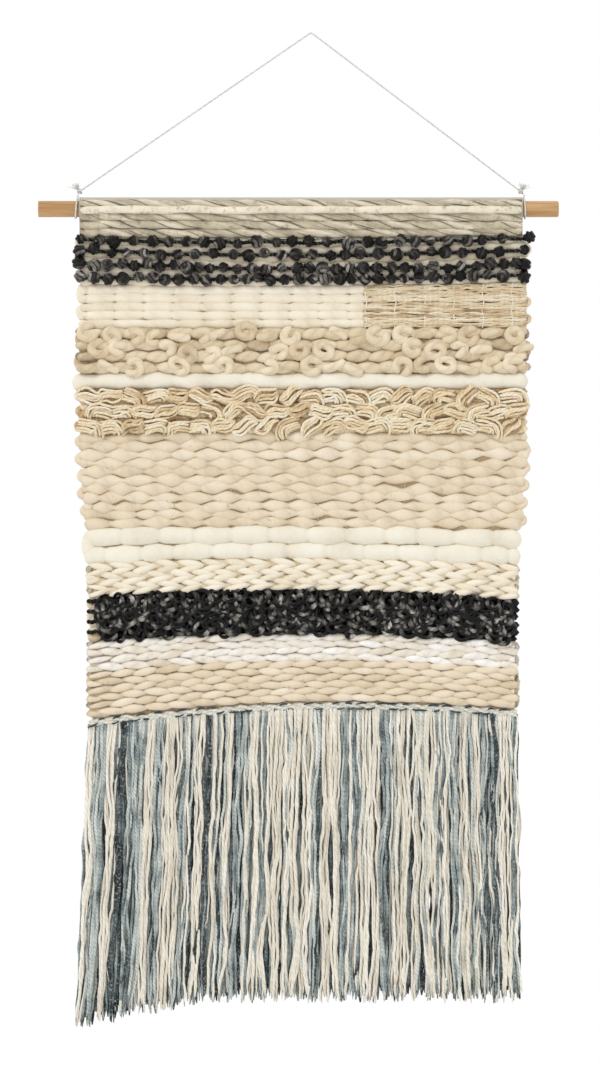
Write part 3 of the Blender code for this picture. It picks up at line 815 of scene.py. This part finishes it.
def cloth_material(name, colours, thread):
    """Thin plain-woven cloth. The threads follow the UV map, which is in metres."""
    s = Shader(name, 0.9, 0.2, 0.2)
    u, v, tint = s.yarn_map()
    waves = [s.math("SINE", s.times(along, math.tau / thread)) for along in (u, v)]
    weave = s.math("MULTIPLY_ADD", s.times(*waves), 0.5)
    weave.node.inputs[2].default_value = 0.5
    patch = s.noise(s.place(), 180.0, 3.0, 0.6)
    factor = s.plus(tint, s.times(s.minus(patch, 0.5), 0.4), True)
    shade = s.times(s.minus(1.0, weave), 0.22)
    colour = s.mix(shade, s.ramp(factor, stops(colours)), srgb(120, 108, 92))
    return s.finish(colour, s.plus(weave, patch), 0.5, 0.0006)


def pocket_section():
    """The pocket cloth's middle line in (y, z): up the front, over the dowel and down the back."""
    radius = POCKET_INNER + POCKET_CLOTH / 2
    front_y = WARP_Y - POCKET_CLOTH / 2 - 0.0001
    back_y = WARP_Y + POCKET_CLOTH / 2 + 0.0001
    tail_top = radius + 0.004
    angles = np.radians(np.linspace(-112.0, -428.0, 57))
    over = np.stack([radius * np.cos(angles), radius * np.sin(angles)], axis=1)
    rise = np.linspace(0.0, 1.0, 9)[:-1, None]
    front = np.array((front_y, -POCKET_TAIL_DROP)), np.array((front_y, -tail_top))
    back = np.array((back_y, -tail_top)), np.array((back_y, -POCKET_TAIL_DROP))
    up = front[0] + (front[1] - front[0]) * rise
    join = front[1] + (over[0] - front[1]) * rise
    leave = over[-1] + (back[0] - over[-1]) * rise
    down = back[0] + (back[1] - back[0]) * np.linspace(0.0, 1.0, 9)[:, None]
    return np.concatenate([up, join, over, leave, down])


def build_pocket():
    line = pocket_section()
    along = np.gradient(line, axis=0)
    along /= np.linalg.norm(along, axis=1, keepdims=True)
    normal = np.stack([-along[:, 1], along[:, 0]], axis=1) * POCKET_CLOTH / 2
    outline = np.concatenate([line + normal, (line - normal)[::-1]])
    middle = np.concatenate([line, line[::-1]])
    x = np.linspace(POCKET_LOW[0], POCKET_HIGH[0], 130)
    x = np.concatenate([[x[0]], x, [x[-1]]])
    grid = np.empty((1, len(x), len(outline), 3))
    for i, at in enumerate(x):
        shape = middle if i in (0, len(x) - 1) else outline
        grid[0, i, :, 0] = at
        grid[0, i, :, 1] = shape[:, 0]
        grid[0, i, :, 2] = AXIS_Z + shape[:, 1]
    length = float(np.linalg.norm(np.diff(line, axis=0), axis=1).sum())
    u = np.arange(len(outline)) / len(outline) * 2 * length
    soup = Soup()
    soup.add_grid(grid, u, x[None], 0.6, u_step=2 * length / len(outline))
    # The greys are partly the cloth's own colour and partly painted shade, darkened for the shade
    # on the pocket's top where it curves back.
    greys_with_painted_shade = (150, 143, 127), (186, 179, 162), (212, 205, 188)
    cotton = cloth_material("pocket_cotton_detail", greys_with_painted_shade, 0.0022)
    obj = whole_piece("pocket_cloth", soup, "pocket_cotton", "header", "rod_pocket", cotton)
    weld(obj)


def weld(obj):
    """Joins the points that lie on each other, which closes the mesh."""
    shape = bmesh.new()
    shape.from_mesh(obj.data)
    bmesh.ops.remove_doubles(shape, verts=shape.verts, dist=1e-6)
    shape.to_mesh(obj.data)
    shape.free()


def marled_path(drop, rng):
    """A row's centreline over the front of the pocket and down to the cloth."""
    x = np.linspace(POCKET_LOW[0] + MARLED_INSET, POCKET_HIGH[0] - MARLED_INSET, 260)
    drops = drop + wander(rng, len(x), 16, 0.0006)
    round_part = np.sqrt(np.clip(MARLED_RADIUS**2 - drops**2, 0.0, None)) + WARP_Y
    down_part = np.interp(drops, MARLED_OUT_DROPS, MARLED_OUTS)
    out = np.where(drops < 0.008, round_part, down_part)
    return on_cloth(x, drops, out)


def build_marled_rows():
    rng = np.random.default_rng(31)
    wool, threads = Soup(), Soup()
    for drop, half, pitch in MARLED_ROWS:
        path = marled_path(drop, rng)
        radius = half * (1 + wander(rng, len(path), 40, 0.08)) * round_ends(len(path), 0.012)
        if not pitch:
            wool.add(path, radius, 12, 0.92, flat=1.1, deep=0.62)
            continue
        wool.add(path, radius * 0.80, 12, 0.5, flat=1.1, deep=0.56)
        tints = (rng.uniform(0.20, 0.34), rng.uniform(0.66, 0.80))
        add_plied(wool, path, half, 2, pitch, tints, 10, 30, 0.40, 0.66)
        for phase, thick in MARLED_THREADS:
            add_groove_line(threads, path, half * 0.86, thick, pitch, phase, rng)
    whole_piece("marled_rows", wool, "marled_wool", "header", "marled_band")
    dark = yarn("marled_thread")
    whole_piece("marled_threads", threads, "marled_wool", "header", "marled_band", dark)


def add_groove_line(soup, path, off, thick, pitch, phase, rng):
    """A thin thread, broken into stretches, that follows the plies of a yarn over its front."""
    length = lengths_along(path)[-1]
    path = resampled(path, int(length / pitch * 36) + 2)
    front, side = ring_frames(path[None])
    turn = (lengths_along(path) / pitch + phase) * math.tau
    turn = (turn + wander(rng, len(path), length / 0.030, 0.45))[:, None]
    strand = path + off * (0.60 * np.cos(turn) * front[0] + np.sin(turn) * side[0])
    shows = np.clip(wander(rng, len(path), length / 0.022, 0.8) + 0.7, 0.12, 1.15)
    soup.add(strand, thick * shows, 5, rng.uniform(0.1, 0.8))


# ---- warp threads and the thin weave between them ----

WEAVE_INSET = 0.0045

def build_warp():
    """The warp threads, and sheets of thin weave that close the gaps between the rows. Outside the
    pile the sheet's brown is darker than the yarn: painted shade seen through those gaps.
    """
    nodes = [f"warp_{name}" for name in BEND_BODIES]
    width = TOP_RIGHT - TOP_LEFT
    threads = Soup()
    drops = np.arange(0.0330, FRINGE_DROP + 0.004, 0.0035)
    left, right = cloth_edges(drops)
    rng = np.random.default_rng(17)
    for i in range(int((width - 0.010) / (COLUMN / 2)) + 1):
        share = (0.006 + i * COLUMN / 2) / width
        x = left + (right - left) * share + wander(rng, len(drops), 30, 0.0004)
        out = 0.0011 * np.sin(drops / 0.0101 * math.pi + math.pi * i)
        threads.add(on_cloth(x, drops, out), 0.0010, 6, rng.uniform(0.3, 0.8))
    cloth_pieces("warp_threads", threads, "warp_cotton", *nodes)

    rows = np.linspace(BAND_DROPS[0], FRINGE_DROP - 0.001, 190)
    columns = np.linspace(0.0, 1.0, 61)
    left, right = cloth_edges(rows)
    x = (left + WEAVE_INSET)[:, None] + (right - left - 2 * WEAVE_INSET)[:, None] * columns
    in_pile = (rows > BANDS["pile"][0]) & (rows < BANDS["pile"][1])
    tint = np.where(in_pile, 0.05, 0.75)[None]
    grid = on_cloth(x, rows[:, None], 0.0)[None]
    sheet = Soup()
    sheet.add_grid(grid, columns * width, rows[None], tint, width / 60, closed=False)
    # Painted shade: the browns are darker than the cream yarn, so the gaps between the rows look
    # shaded. The near-black end is the charcoal weft under the pile.
    colours = (40, 36, 34), (150, 128, 98), (196, 176, 140)
    weave = cloth_material("ground_weave_gap_shade_detail", colours, 0.0026)
    for obj in cloth_pieces("ground_weave_gap_shade", sheet, "warp_cotton", *nodes, material=weave):
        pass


# ---- bobble rows ----

BOBBLE_ROWS = (
    # drop, and the least and greatest distance from one bobble to the next
    (0.0397, 0.0155, 0.0245),
    (0.0543, 0.0155, 0.0235),
    (0.0705, 0.0132, 0.0190),
    (0.0830, 0.0132, 0.0190),
)
BOBBLE_RADIUS = 0.0072
BOBBLE_OUT = 0.0082
BOBBLE_THREAD_OUT = 0.0062


def add_bobbles(soup, places, radii, rng):
    """Lumps of yarn, each wound round a core with its turns side by side."""
    t = np.linspace(0.0, 1.0, 48)
    for place, radius in zip(places, radii):
        yarn = radius * rng.uniform(0.26, 0.30)
        reach = (radius - yarn) * 1.04
        polar = 0.30 + (math.pi - 0.60) * t
        turn = rng.uniform(0, math.tau) + rng.choice((-1, 1)) * math.tau * 3.0 * t
        wound = np.stack(
            [np.cos(polar), np.sin(polar) * np.cos(turn), np.sin(polar) * np.sin(turn)], axis=1
        )
        yaw, tip = rng.normal(0.0, 0.5), rng.normal(0.0, 0.7)
        cy, sy, ct, st = math.cos(yaw), math.sin(yaw), math.cos(tip), math.sin(tip)
        turned = wound @ np.array(((cy, -sy, 0), (sy, cy, 0), (0, 0, 1)))
        turned = turned @ np.array(((ct, 0, -st), (0, 1, 0), (st, 0, ct)))
        path = place + reach * turned * (1.0, 0.82, 1.0)
        # The tints reach up into the charcoal ramp's light greys: painted highlights on each
        # bobble's glossy yarn.
        tint = rng.uniform(0.36, 0.66) + wander(rng, len(t), 9, 0.14)
        soup.add(path, yarn * round_ends(48, 0.06), 8, tint)
        core = place + np.linspace(-0.80, 0.80, 13)[:, None] * radius * np.array((1.0, 0.0, 0.0))
        soup.add(core, radius * 0.84 * round_ends(13, 0.5), 12, 0.34, deep=0.85)


def build_bobbles():
    rng = np.random.default_rng(41)
    for number, (drop, *gaps) in enumerate(BOBBLE_ROWS, 1):
        soup = Soup()
        left, right = edges_at(drop)
        spots = [left + rng.uniform(-0.001, 0.002)]
        while spots[-1] < right - 0.012:
            spots.append(spots[-1] + rng.uniform(*gaps))
        spots[-1] = right + (0.003 if number == 1 else -0.003)
        places = on_cloth(spots, drop + rng.normal(0.0, 0.0011, len(spots)), BOBBLE_OUT)
        add_bobbles(soup, places, BOBBLE_RADIUS * rng.uniform(0.84, 1.16, len(spots)), rng)
        x = np.linspace(left - 0.001, spots[-1], 330)
        way = on_cloth(x, drop + wander(rng, len(x), 34, 0.0007), BOBBLE_THREAD_OUT)
        add_plied(soup, way, 0.0023, 2, 0.0075, (0.2, 0.55), 6, 9)
        cloth_pieces(f"bobble_yarn_{number}", soup, "charcoal_wool", f"bobble_row_{number}")


# ---- curls ----

CURL_FOOT = 0.0040
# Kinds of curl: how likely it is, its half width and half height, how far its arc goes round,
# and where it starts.
CURL_KINDS = np.array(
    (
        (0.36, 0.0098, 0.0080, 5.9, 0.6),
        (0.14, 0.0096, 0.0062, 4.5, -2.2),
        (0.30, 0.0116, 0.0036, 2.6, 0.3),
        (0.20, 0.0096, 0.0076, 7.6, 1.0),
    )
)

def add_curls(soup, x, drop, wide, high, first, sweep, tilt, top, thick, tint):
    """Loops of thick yarn that stand out of the cloth. Each is an arc of an oval, tilted, with
    its two ends tucked in. All the values are arrays with one entry for each loop."""
    t = np.linspace(0.0, 1.0, 30)[None]
    angle = first[:, None] + sweep[:, None] * t
    shrink = 1 - 0.22 * t * np.clip(sweep / math.tau, 0, 1)[:, None]
    a = wide[:, None] * np.cos(angle) * shrink
    b = high[:, None] * np.sin(angle) * shrink
    across, up = tilted(a, b, tilt[:, None])
    dome = np.sin(np.pi * np.clip(t, 0.01, 0.99)) ** 0.55
    outs = CURL_FOOT + (top - CURL_FOOT)[:, None] * dome
    radius = thick[:, None] * round_ends(30, 0.16)[None]
    soup.add(on_cloth(x[:, None] + across, drop[:, None] - up, outs), radius, 10, tint)


def build_curls():
    top, bottom = band = BANDS["curls"]
    soup = Soup()
    weft_block(soup, band, 4, 51, front=0.0034, back=0.0060, pinch=0.4, tint=0.35, step=0.003)
    slanting_rows(soup, band, 4, 53, 0.0262, 0.10, out=0.0032, thick=1.06, tint=0.55)
    rng = np.random.default_rng(52)
    for row, filled in enumerate((0.92, 0.80, 0.85)):
        drop = top + (bottom - top) * (row + 0.5) / 3
        x = stitch_columns(drop, 0.0262, 0.012 + 0.012 * (row % 2), rng)
        x = x[rng.random(len(x)) < filled]
        count = len(x)
        kind = rng.choice(len(CURL_KINDS), count, p=CURL_KINDS[:, 0])
        wide, high, sweep, first = CURL_KINDS[kind, 1:].T
        wide = wide * rng.uniform(0.86, 1.16, count)
        high = high * rng.uniform(0.9, 1.1, count)
        sweep = sweep * rng.uniform(0.94, 1.06, count)
        first = first + rng.normal(0.0, 0.4, count)
        first = np.where(rng.random(count) < 0.4, first + math.pi, first)
        tilt = rng.normal(0.0, 0.28, count)
        drops = drop + rng.normal(0.0, 0.0018, count)
        crest = rng.uniform(0.0072, 0.0092, count)
        thick = rng.uniform(0.0047, 0.0056, count)
        tint = rng.uniform(0.40, 0.95, count)
        add_curls(soup, x, drops, wide, high, first, sweep, tilt, crest, thick, tint)
    cloth_pieces("curls", soup, "curl_wool", "curl_band")


# ---- clusters of strand loops ----


def add_clusters(soup, x, drop, rng):
    """Bundles of strands. Some rise, bend over together and turn down, and the others lie in a
    bow, pinched together at both ends."""
    strands = 5
    s = np.linspace(0.0, 1.0, 20)
    run = np.clip(s / 0.45, 0.0, 1.0)
    dome = np.sin(np.pi * np.clip(s, 0.01, 0.99)) ** 0.6
    for centre_x, centre_drop in zip(x, drop):
        bowed = rng.random() < 0.48
        tilt = rng.normal(0.30, 0.30) if bowed else rng.normal(0.14, 0.34)
        mirror = -1.0 if rng.random() < 0.25 else 1.0
        hub_x, hub_z = 0.0030 + rng.normal(0, 0.0010), -0.0070 + rng.normal(0, 0.0006)
        gap = rng.uniform(0.0031, 0.0034)
        half_long = rng.uniform(0.0148, 0.0178)
        tone = rng.normal(0.0, 0.07)
        for j in range(strands):
            if bowed:
                a = half_long * (2 * s - 1)
                fan = np.sin(np.pi * np.clip(s, 0.06, 0.94)) ** 0.7
                b = 1.16 * gap * (j - (strands - 1) / 2) * fan
                b = b + rng.normal(0, 0.0008) + 0.0024 * np.sin(math.tau * s)
            else:
                ring = 0.0012 + gap * j
                reach = -0.0150 + rng.normal(0, 0.0008)
                rise = -0.0022 + rng.normal(0, 0.0008)
                sweep = math.radians(rng.uniform(95, 130))
                bend = np.clip((s - 0.45) / 0.55, 0.0, 1.0) * sweep
                straight_part = reach + (hub_x - reach) * run
                a = np.where(s < 0.45, straight_part, hub_x + ring * np.sin(bend))
                lifted = hub_z + ring + rise * (1 - run) ** 1.5
                b = np.where(s < 0.45, lifted, hub_z + ring * np.cos(bend))
            across, up = tilted(a * mirror, b, tilt)
            outs = 0.0035 + (0.0062 - 0.0004 * abs(j - 3)) * dome + rng.normal(0, 0.0006)
            xs = centre_x + across + wander(rng, 20, 4, 0.0007)
            path = on_cloth(xs, centre_drop - up + wander(rng, 20, 4, 0.0007), outs)
            tint = rng.normal(0.55 + tone, 0.18) + wander(rng, 20, 3, 0.10)
            radius = rng.uniform(0.0015, 0.0019) * round_ends(20, 0.1)
            soup.add(path, radius, 7, np.clip(tint, 0, 0.85))


def build_strand_loops():
    top, bottom = BANDS["strand_loops"]
    height = (bottom - top) / 3
    rng = np.random.default_rng(61)
    for row in range(3):
        soup = Soup()
        drop = top + height * row
        band = drop, drop + height
        weft_block(soup, band, 2, 62 + row, front=0.0040, back=0.0052, tint=0.28, step=0.003)
        x = stitch_columns(drop, 0.0260, 0.012 + 0.0125 * (row % 2), rng)
        x = np.clip(x, TOP_LEFT + 0.012, TOP_RIGHT - 0.012)
        add_clusters(soup, x, drop + height * 0.5 + rng.normal(0.0, 0.0009, len(x)), rng)
        name = f"strand_loops_{row + 1}"
        cloth_pieces(name, soup, "strand_wool", f"strand_loop_row_{row + 1}")


# ---- charcoal loop pile ----

PILE_BARE = 0.0125

def add_pile_loops(soup, x, drop, rng, size=1.0):
    """Slack loops of thin glossy yarn: each hangs out of the cloth and turns back into it."""
    count = len(x)
    t = np.linspace(0.0, 1.0, 22)[None]
    drop_length = (rng.uniform(0.012, 0.019, count) * size)[:, None]
    width = (rng.uniform(0.0052, 0.0088, count) * rng.choice((-1, 1), count) * size)[:, None]
    lean = rng.normal(0.0, 0.35, count)[:, None]
    twist = rng.normal(0.0, 0.0011, count)[:, None]
    a = width * np.sin(math.tau * t) + twist * np.sin(2 * math.tau * t)
    b = drop_length * (1 - np.cos(math.tau * t)) / 2
    across, down = tilted(a, b, -lean)
    belly = rng.uniform(0.0060, 0.0088, count)[:, None]
    outs = 0.0032 + belly * np.sin(np.pi * t) ** 0.7 * rng.uniform(0.75, 1.0, count)[:, None]
    radius = rng.uniform(0.0021, 0.0031, count)[:, None] * round_ends(22, 0.08)[None]
    tint = rng.normal(0.37, 0.12, count)[:, None]
    # The tint swings along each loop up into the ramp's light greys: painted highlights along the
    # glossy yarn.
    tint = tint + 0.34 * np.sin(t * 14 + rng.uniform(0, 6, count)[:, None])
    path = on_cloth(x[:, None] + across, drop[:, None] + down, outs)
    soup.add(path, radius, 8, np.clip(tint, 0, 1))


def build_pile():
    """The charcoal loops over rows of charcoal weft. At the left edge the weft stops short, so
    that cream rows show there, with the ends of the charcoal yarn turning back over them."""
    top, bottom = band = BANDS["pile"]
    left = edges_at(top)[0]
    weft = dict(front=0.0042, back=0.0055, step=0.003)
    soup, edge = Soup(), Soup()
    weft_block(
        soup, band, 6, 71, x_low=left + PILE_BARE, turns=0.0, overlap=1.15, tint=0.05, pinch=0.4,
        **weft,
    )
    rng = np.random.default_rng(72)
    for row in range(6):
        drop = top + 0.0022 + (bottom - top) * row / 7.6
        x = stitch_columns(drop, 0.0125, PILE_BARE + 0.004 + 0.0062 * (row % 2), rng)
        x = x[x < FOOT_RIGHT - 0.007]
        add_pile_loops(soup, x, drop + rng.normal(0.0, 0.0018, len(x)), rng)
    for _ in range(3):
        x = rng.uniform(FOOT_LEFT + 0.02, FOOT_RIGHT - 0.014, 18)
        drop = rng.uniform(top + 0.004, bottom - 0.018, 18)
        add_pile_loops(soup, x, drop, rng, 1.15)
    x = np.linspace(left - 0.001, left + 0.020, 14)
    for turn in range(4):
        drop = top + 0.0065 + 0.0122 * turn
        path = on_cloth(x, drop + 0.0006 * np.sin(x * 900), 0.0052)
        add_plied(soup, path, 0.0026, 2, 0.008, (0.1, 0.45), 7, 9)
    cloth_pieces("charcoal_pile", soup, "charcoal_wool", "charcoal_loop_band")
    weft_block(edge, band, 6, 73, x_high=left + 0.016, turns=0.0025, tint=0.4, **weft)
    cloth_pieces("pile_edge", edge, "cream_wool", "charcoal_loop_band")


# ---- colour blocks ----

TAN_ROWS = 5

def build_blocks():
    """The cream block of plain rows, and beside it the tan block of fine strands."""
    top, bottom = band = BANDS["blocks"]
    split = float(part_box("cream_block")[1].x)
    right = edges_at(top)[1]
    cream, tan, warps = Soup(), Soup(), Soup()
    weft_block(
        cream, band, 5, 81, offset_rows=False, turns=0.0045, overlap=1.18, start=0.0085, tint=0.7,
        front=0.0052, back=0.0050, x_high=split + 0.0015, pinch=0.42, notch=0.0024, wave=0.08,
        uneven=0.04,
    )
    cloth_pieces("cream_rows", cream, "cream_wool", "cream_block")

    rng = np.random.default_rng(82)
    pitch = (bottom - top) / TAN_ROWS
    x = np.arange(split - 0.004, right + 0.001, 0.0021)
    phase = (x - split) / COLUMN
    squeeze = 1 - 0.20 * np.exp(-(((phase - np.round(phase)) * COLUMN / 0.0055) ** 2))
    for row in range(TAN_ROWS):
        centre = top + pitch * (row + 0.5)
        for strands, facing in ((5, 1), (4, -1)):
            for j in range(strands):
                place = (j + 0.5) / strands - 0.5
                drops = centre + place * pitch * 1.02 * squeeze
                drops = drops + wander(rng, len(x), 22, 0.0006)
                out = facing * (0.0026 + 0.0018 * squeeze + wander(rng, len(x), 16, 0.0006))
                path = on_cloth(x, drops, out)
                radius = rng.uniform(0.0013, 0.0017) * round_ends(len(x), 0.02)
                tint = rng.normal(0.52, 0.17) + wander(rng, len(x), 14, 0.14)
                tan.add(path, radius, 6, np.clip(tint, 0, 0.92))
    turning = top + pitch * (np.arange(1, TAN_ROWS) + 0.5)
    add_turns(tan, turning, pitch * 0.36, 1, 0.0055, rng, 0.45)
    drops = np.linspace(top, bottom, 40)
    for column in np.arange(0.0, right - split, COLUMN):
        xs = split + column + 0.0008 * np.sin(drops * 300)
        warps.add(on_cloth(xs, drops, 0.0045), 0.0009, 6, 0.7)
    cloth_pieces("tan_strands", tan, "tan_wool", "tan_block")
    cloth_pieces("tan_warps", warps, "cream_wool", "tan_block")


# ---- plain rows, roving and soumak ----

ROVING_COLUMN = 0.0431

# The bands of slanting stitches, and the weft under them: its rows, seed, depth in front and at
# the back and tint, then the stitches' rows, seed, pitch, slope, distance out, thickness and tint.
SLANTING_BANDS = {
    "ivory": ((3, 103, 0.0032, 0.0052, 0.2), (4, 104, 0.0275, 0.12, 0.0038, 1.10, 0.6)),
    "natural": ((5, 105, 0.0034, 0.0054, 0.3), (6, 106, 0.0268, 0.10, 0.0038, 1.10, 0.58)),
}


def build_plain_bands():
    """The cream ground of the bobbles, the natural weave, and the thick rows of roving."""
    ground, natural = Soup(), Soup()
    weft_block(
        ground, BANDS["bobbles"], 6, 91, front=0.0042, back=0.0042, tint=0.6, pinch=0.4,
        overlap=1.10,
    )
    cloth_pieces("bobble_ground_rows", ground, "cream_wool", "bobble_ground")
    weft_block(
        natural, BANDS["natural"], 11, 92, front=0.0064, back=0.0072, pinch=0.60, notch=0.0036,
        jitter=0.0050, uneven=0.10, sag=0.0011, wave=0.27, tint=0.6, overlap=1.20,
    )
    cloth_pieces("natural_rows", natural, "natural_wool", "natural_band")

    for number, pinch, past_left in ((1, 0.16, 0.0085), (2, 0.36, 0.0035), (3, 0.36, 0.0035)):
        rng = np.random.default_rng(92 + number)
        soup = Soup()
        top, bottom = BANDS[f"roving_{number}"]
        middle = (top + bottom) / 2
        left, right = edges_at(middle)
        add_weft_row(
            soup, middle, rng, half=(bottom - top) / 2 * 1.06, front=0.0096, back=0.0096,
            column=ROVING_COLUMN, start=0.0215 * (number % 2), x_low=left - past_left,
            x_high=right + 0.002, pinch=pinch, wave=0.06, uneven=0.06, jitter=0.004, sag=0.0008,
            sides=20, cap=0.011, tint=0.6,
        )
        if number == 2:
            both = np.array((middle, middle + bottom - top))
            add_turns(soup, both, 0.0098, -1, 0.0058, rng, 0.6)
        cloth_pieces(f"roving_{number}", soup, "roving_wool", f"roving_row_{number}")


def build_soumak():
    band = BANDS["cream_soumak"]
    soup = Soup()
    weft_block(soup, band, 4, 101, turns=0.002, tint=0.34, front=0.0048, back=0.0055, step=0.003)
    chain_rows(soup, band, 3, 102, 0.0268, 0.23, out=0.0036, thick=1.34, tint=0.70)
    nodes = [f"cream_soumak_row_{number}" for number in (1, 2, 3)]
    cloth_pieces("cream_soumak", soup, "cream_wool", *nodes)
    for name, ((rows, seed, front, back, tint), stitches) in SLANTING_BANDS.items():
        band = BANDS[f"{name}_soumak"]
        soup = Soup()
        weft_block(
            soup, band, rows, seed, turns=0.003, tint=tint, front=front, back=back, step=0.003
        )
        slanting_rows(soup, band, *stitches)
        cloth_pieces(f"{name}_soumak", soup, f"{name}_wool", f"{name}_soumak_band")


# ---- fringe ----

TASSELS = 22
BUNCHES = 2
# How many strands a bunch has in each layer, how far out they hang, and their radii.
FRINGE_LAYERS = (
    (3, -0.0062, 0.0014, 0.0020),
    (5, -0.0038, 0.0020, 0.0024),
    (5, -0.0004, 0.0012, 0.0017),
    (5, 0.0034, 0.0014, 0.0021),
)
# How likely a strand is cream in each layer, in a bunch of blue-grey and in one of cream.
CREAM_SHARES = ((0.30, 0.06, 0.10, 0.26), (0.86, 0.12, 0.40, 0.86))
FRINGE_LEFT_FLARE = 0.0158
FRINGE_RIGHT_FLARE = 0.0042
TASSEL_START_RISE = 0.0040


def add_fringe_strands(soups, tassel, foot, rng):
    """The strands of one tassel in two bunches: a dark layer behind, and over it cream yarn or
    blue-grey thread. soups holds a mesh for each of the two colours."""
    left, right = edges_at(FRINGE_DROP)
    tip_left, tip_right = left - FRINGE_LEFT_FLARE, right + FRINGE_RIGHT_FLARE
    points = 60
    s = np.linspace(0.0, 1.0, points)
    fade = np.clip(s / 0.08, 0, 1)
    cut_end = np.interp(s, (0, 0.97, 1.0), (1.0, 1.0, 0.4))
    for bunch in range(BUNCHES):
        mostly_cream = rng.random() < 0.52
        shared = wander(rng, points, 6, 0.0016) * fade
        for layer, (strands, hang, thin, thick) in enumerate(FRINGE_LAYERS):
            for k in range(strands):
                filling = layer == 1
                spread = 0.12 if filling else 0.4
                place = (bunch + (k + 0.5 + rng.uniform(-spread, spread)) / strands) / BUNCHES
                share = (tassel + place) / TASSELS
                tip_share = (tassel + (bunch + rng.uniform(-0.05, 1.05)) / BUNCHES) / TASSELS
                tip_share = share if filling else tip_share
                top_x = left + (right - left) * share
                tip_x = tip_left + (tip_right - tip_left) * (0.5 * share + 0.5 * tip_share)
                is_cream = rng.random() < CREAM_SHARES[mostly_cream][layer]
                tip_z = foot + rng.uniform(-0.003, 0.012) + max(0.0, rng.normal(0.0, 0.006))
                top = on_cloth(top_x, FRINGE_DROP - TASSEL_START_RISE, 0.0)
                z = top[2] + (tip_z - top[2]) * s
                x = top_x + (tip_x - top_x) * s**1.1 + (0.0 if filling else shared)
                x = x + wander(rng, points, 7, 0.0005 if filling else 0.0012) * fade
                x = x + wander(rng, points, 27, 0.0007) * fade
                out = (hang + rng.normal(0.0, 0.0008)) * np.clip(s / 0.10, 0, 1) ** 0.7
                out = out + wander(rng, points, 9, 0.0008) * fade
                slubs = 1 + wander(rng, points, 22, 0.10)
                radius = slubs * rng.uniform(thin, thick) * cut_end
                if is_cream:
                    tint = rng.normal(0.62, 0.16)
                elif filling:
                    tint = rng.choice((0.04, 0.16, 0.34, 0.5, 0.62))
                else:
                    tint = rng.choice((0.14, 0.48, 0.6, 0.72, 0.88))
                tint = tint + wander(rng, points, 14, 0.13)
                path = np.stack([x, WARP_Y - out, z], axis=1)
                soup = soups["cream" if is_cream else "blue"]
                soup.add(path, radius, 6, np.clip(tint, 0, 1))


def build_fringe():
    rng = np.random.default_rng(111)
    for index in range(TASSELS):
        node = f"tassel_{index + 1:02d}"
        soups = {"cream": Soup(), "blue": Soup()}
        add_fringe_strands(soups, index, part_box(node)[0].z, rng)
        for kind, soup in soups.items():
            if soup.count:
                obj = mesh_object(f"{node}_{kind}", *soup.arrays(), yarn(f"fringe_{kind}"))
                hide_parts(node)
                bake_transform(obj)


HEADER_DROP = 0.5968


def build_header():
    """The pale yarn that ties the fringe on, and the dark thread that shows on it in dashes."""
    rng = np.random.default_rng(121)
    left, right = edges_at(FRINGE_DROP)
    x = np.linspace(left + 0.001, right - 0.001, 240)
    pale, dark = Soup(), Soup()
    way = on_cloth(x, HEADER_DROP + wander(rng, len(x), 24, 0.0006), 0.0010)
    add_plied(pale, way, 0.0042, 2, 0.034, (0.62, 0.8), 8, 16, 0.5)
    t = np.linspace(-1.0, 1.0, 12)
    for edge, filled in ((-1, 0.46), (1, 0.52)):
        spots = np.arange(left + 0.006, right - 0.012, 0.0125)
        spots = spots[rng.random(len(spots)) < filled]
        spots = spots + rng.normal(0.0, 0.002, len(spots))
        for spot in spots:
            long = rng.uniform(0.0035, 0.0070)
            slope = rng.normal(0.12, 0.14)
            fall = edge * 0.0030 - slope * long * t + 0.0012 * edge * (0.5 - t**2)
            path = on_cloth(spot + long * t, HEADER_DROP + fall, 0.0046 - 0.0016 * t**2)
            dark.add(path, rng.uniform(0.0008, 0.0012) * round_ends(12, 0.3), 6, 0.5)
    for name, soup, kind in (("stitches", pale, "pale"), ("dashes", dark, "dark")):
        material = yarn(f"header_{kind}")
        whole_piece(f"header_{name}", soup, "header_yarn", "lower", "fringe_header", material)


# ---- stage, light and camera ----

VIEW_X = -0.0129
VIEW_Z = -0.5847
VIEW_DISTANCE = 5.0
VIEW_HEIGHT = 1.2492
FLOOR_DROP = 0.55


def build_stage():
    bpy.ops.mesh.primitive_circle_add(
        vertices=96, radius=0.9, fill_type="NGON", location=(0, 0.1, CAD_BOX[0][2] - FLOOR_DROP)
    )
    floor = bpy.context.object
    floor.name = "floor"
    pale = Shader("floor_pale", 0.9)
    pale.surface["Base Color"].default_value = srgb(240, 240, 238)
    floor.data.materials.append(pale.material)

    world = bpy.data.worlds.new("soft_daylight")
    world.use_nodes = True
    background = world.node_tree.nodes["Background"]
    background.inputs["Color"].default_value = (1.0, 1.0, 1.0, 1.0)
    background.inputs["Strength"].default_value = 1.0
    bpy.context.scene.world = world

    sun = bpy.data.lights.new("key_light", "SUN")
    sun.energy = 0.6
    sun.angle = math.radians(14)
    key = bpy.data.objects.new("key_light", sun)
    key.rotation_euler = (math.radians(48), 0.0, math.radians(-38))
    bpy.context.scene.collection.objects.link(key)


def build_camera():
    camera = bpy.data.cameras.new("photo_view")
    camera.sensor_fit = "VERTICAL"
    camera.sensor_height = 36.0
    camera.lens = 36.0 * VIEW_DISTANCE / VIEW_HEIGHT
    obj = bpy.data.objects.new("photo_view", camera)
    obj.location = (VIEW_X, -VIEW_DISTANCE, VIEW_Z)
    obj.rotation_euler = (math.radians(90), 0.0, 0.0)
    bpy.context.scene.collection.objects.link(obj)
    bpy.context.scene.camera = obj
    bpy.context.scene.view_settings.view_transform = "Standard"


def build_dowel():
    dowel = frame["nodes"]["dowel"]
    for slot in dowel.material_slots:
        slot.material = wood_material()


build_camera()
build_stage()
build_hanger()
build_dowel()
build_pocket()
build_marled_rows()
build_warp()
build_plain_bands()
build_bobbles()
build_blocks()
build_curls()
build_strand_loops()
build_soumak()
build_pile()
build_fringe()
build_header()
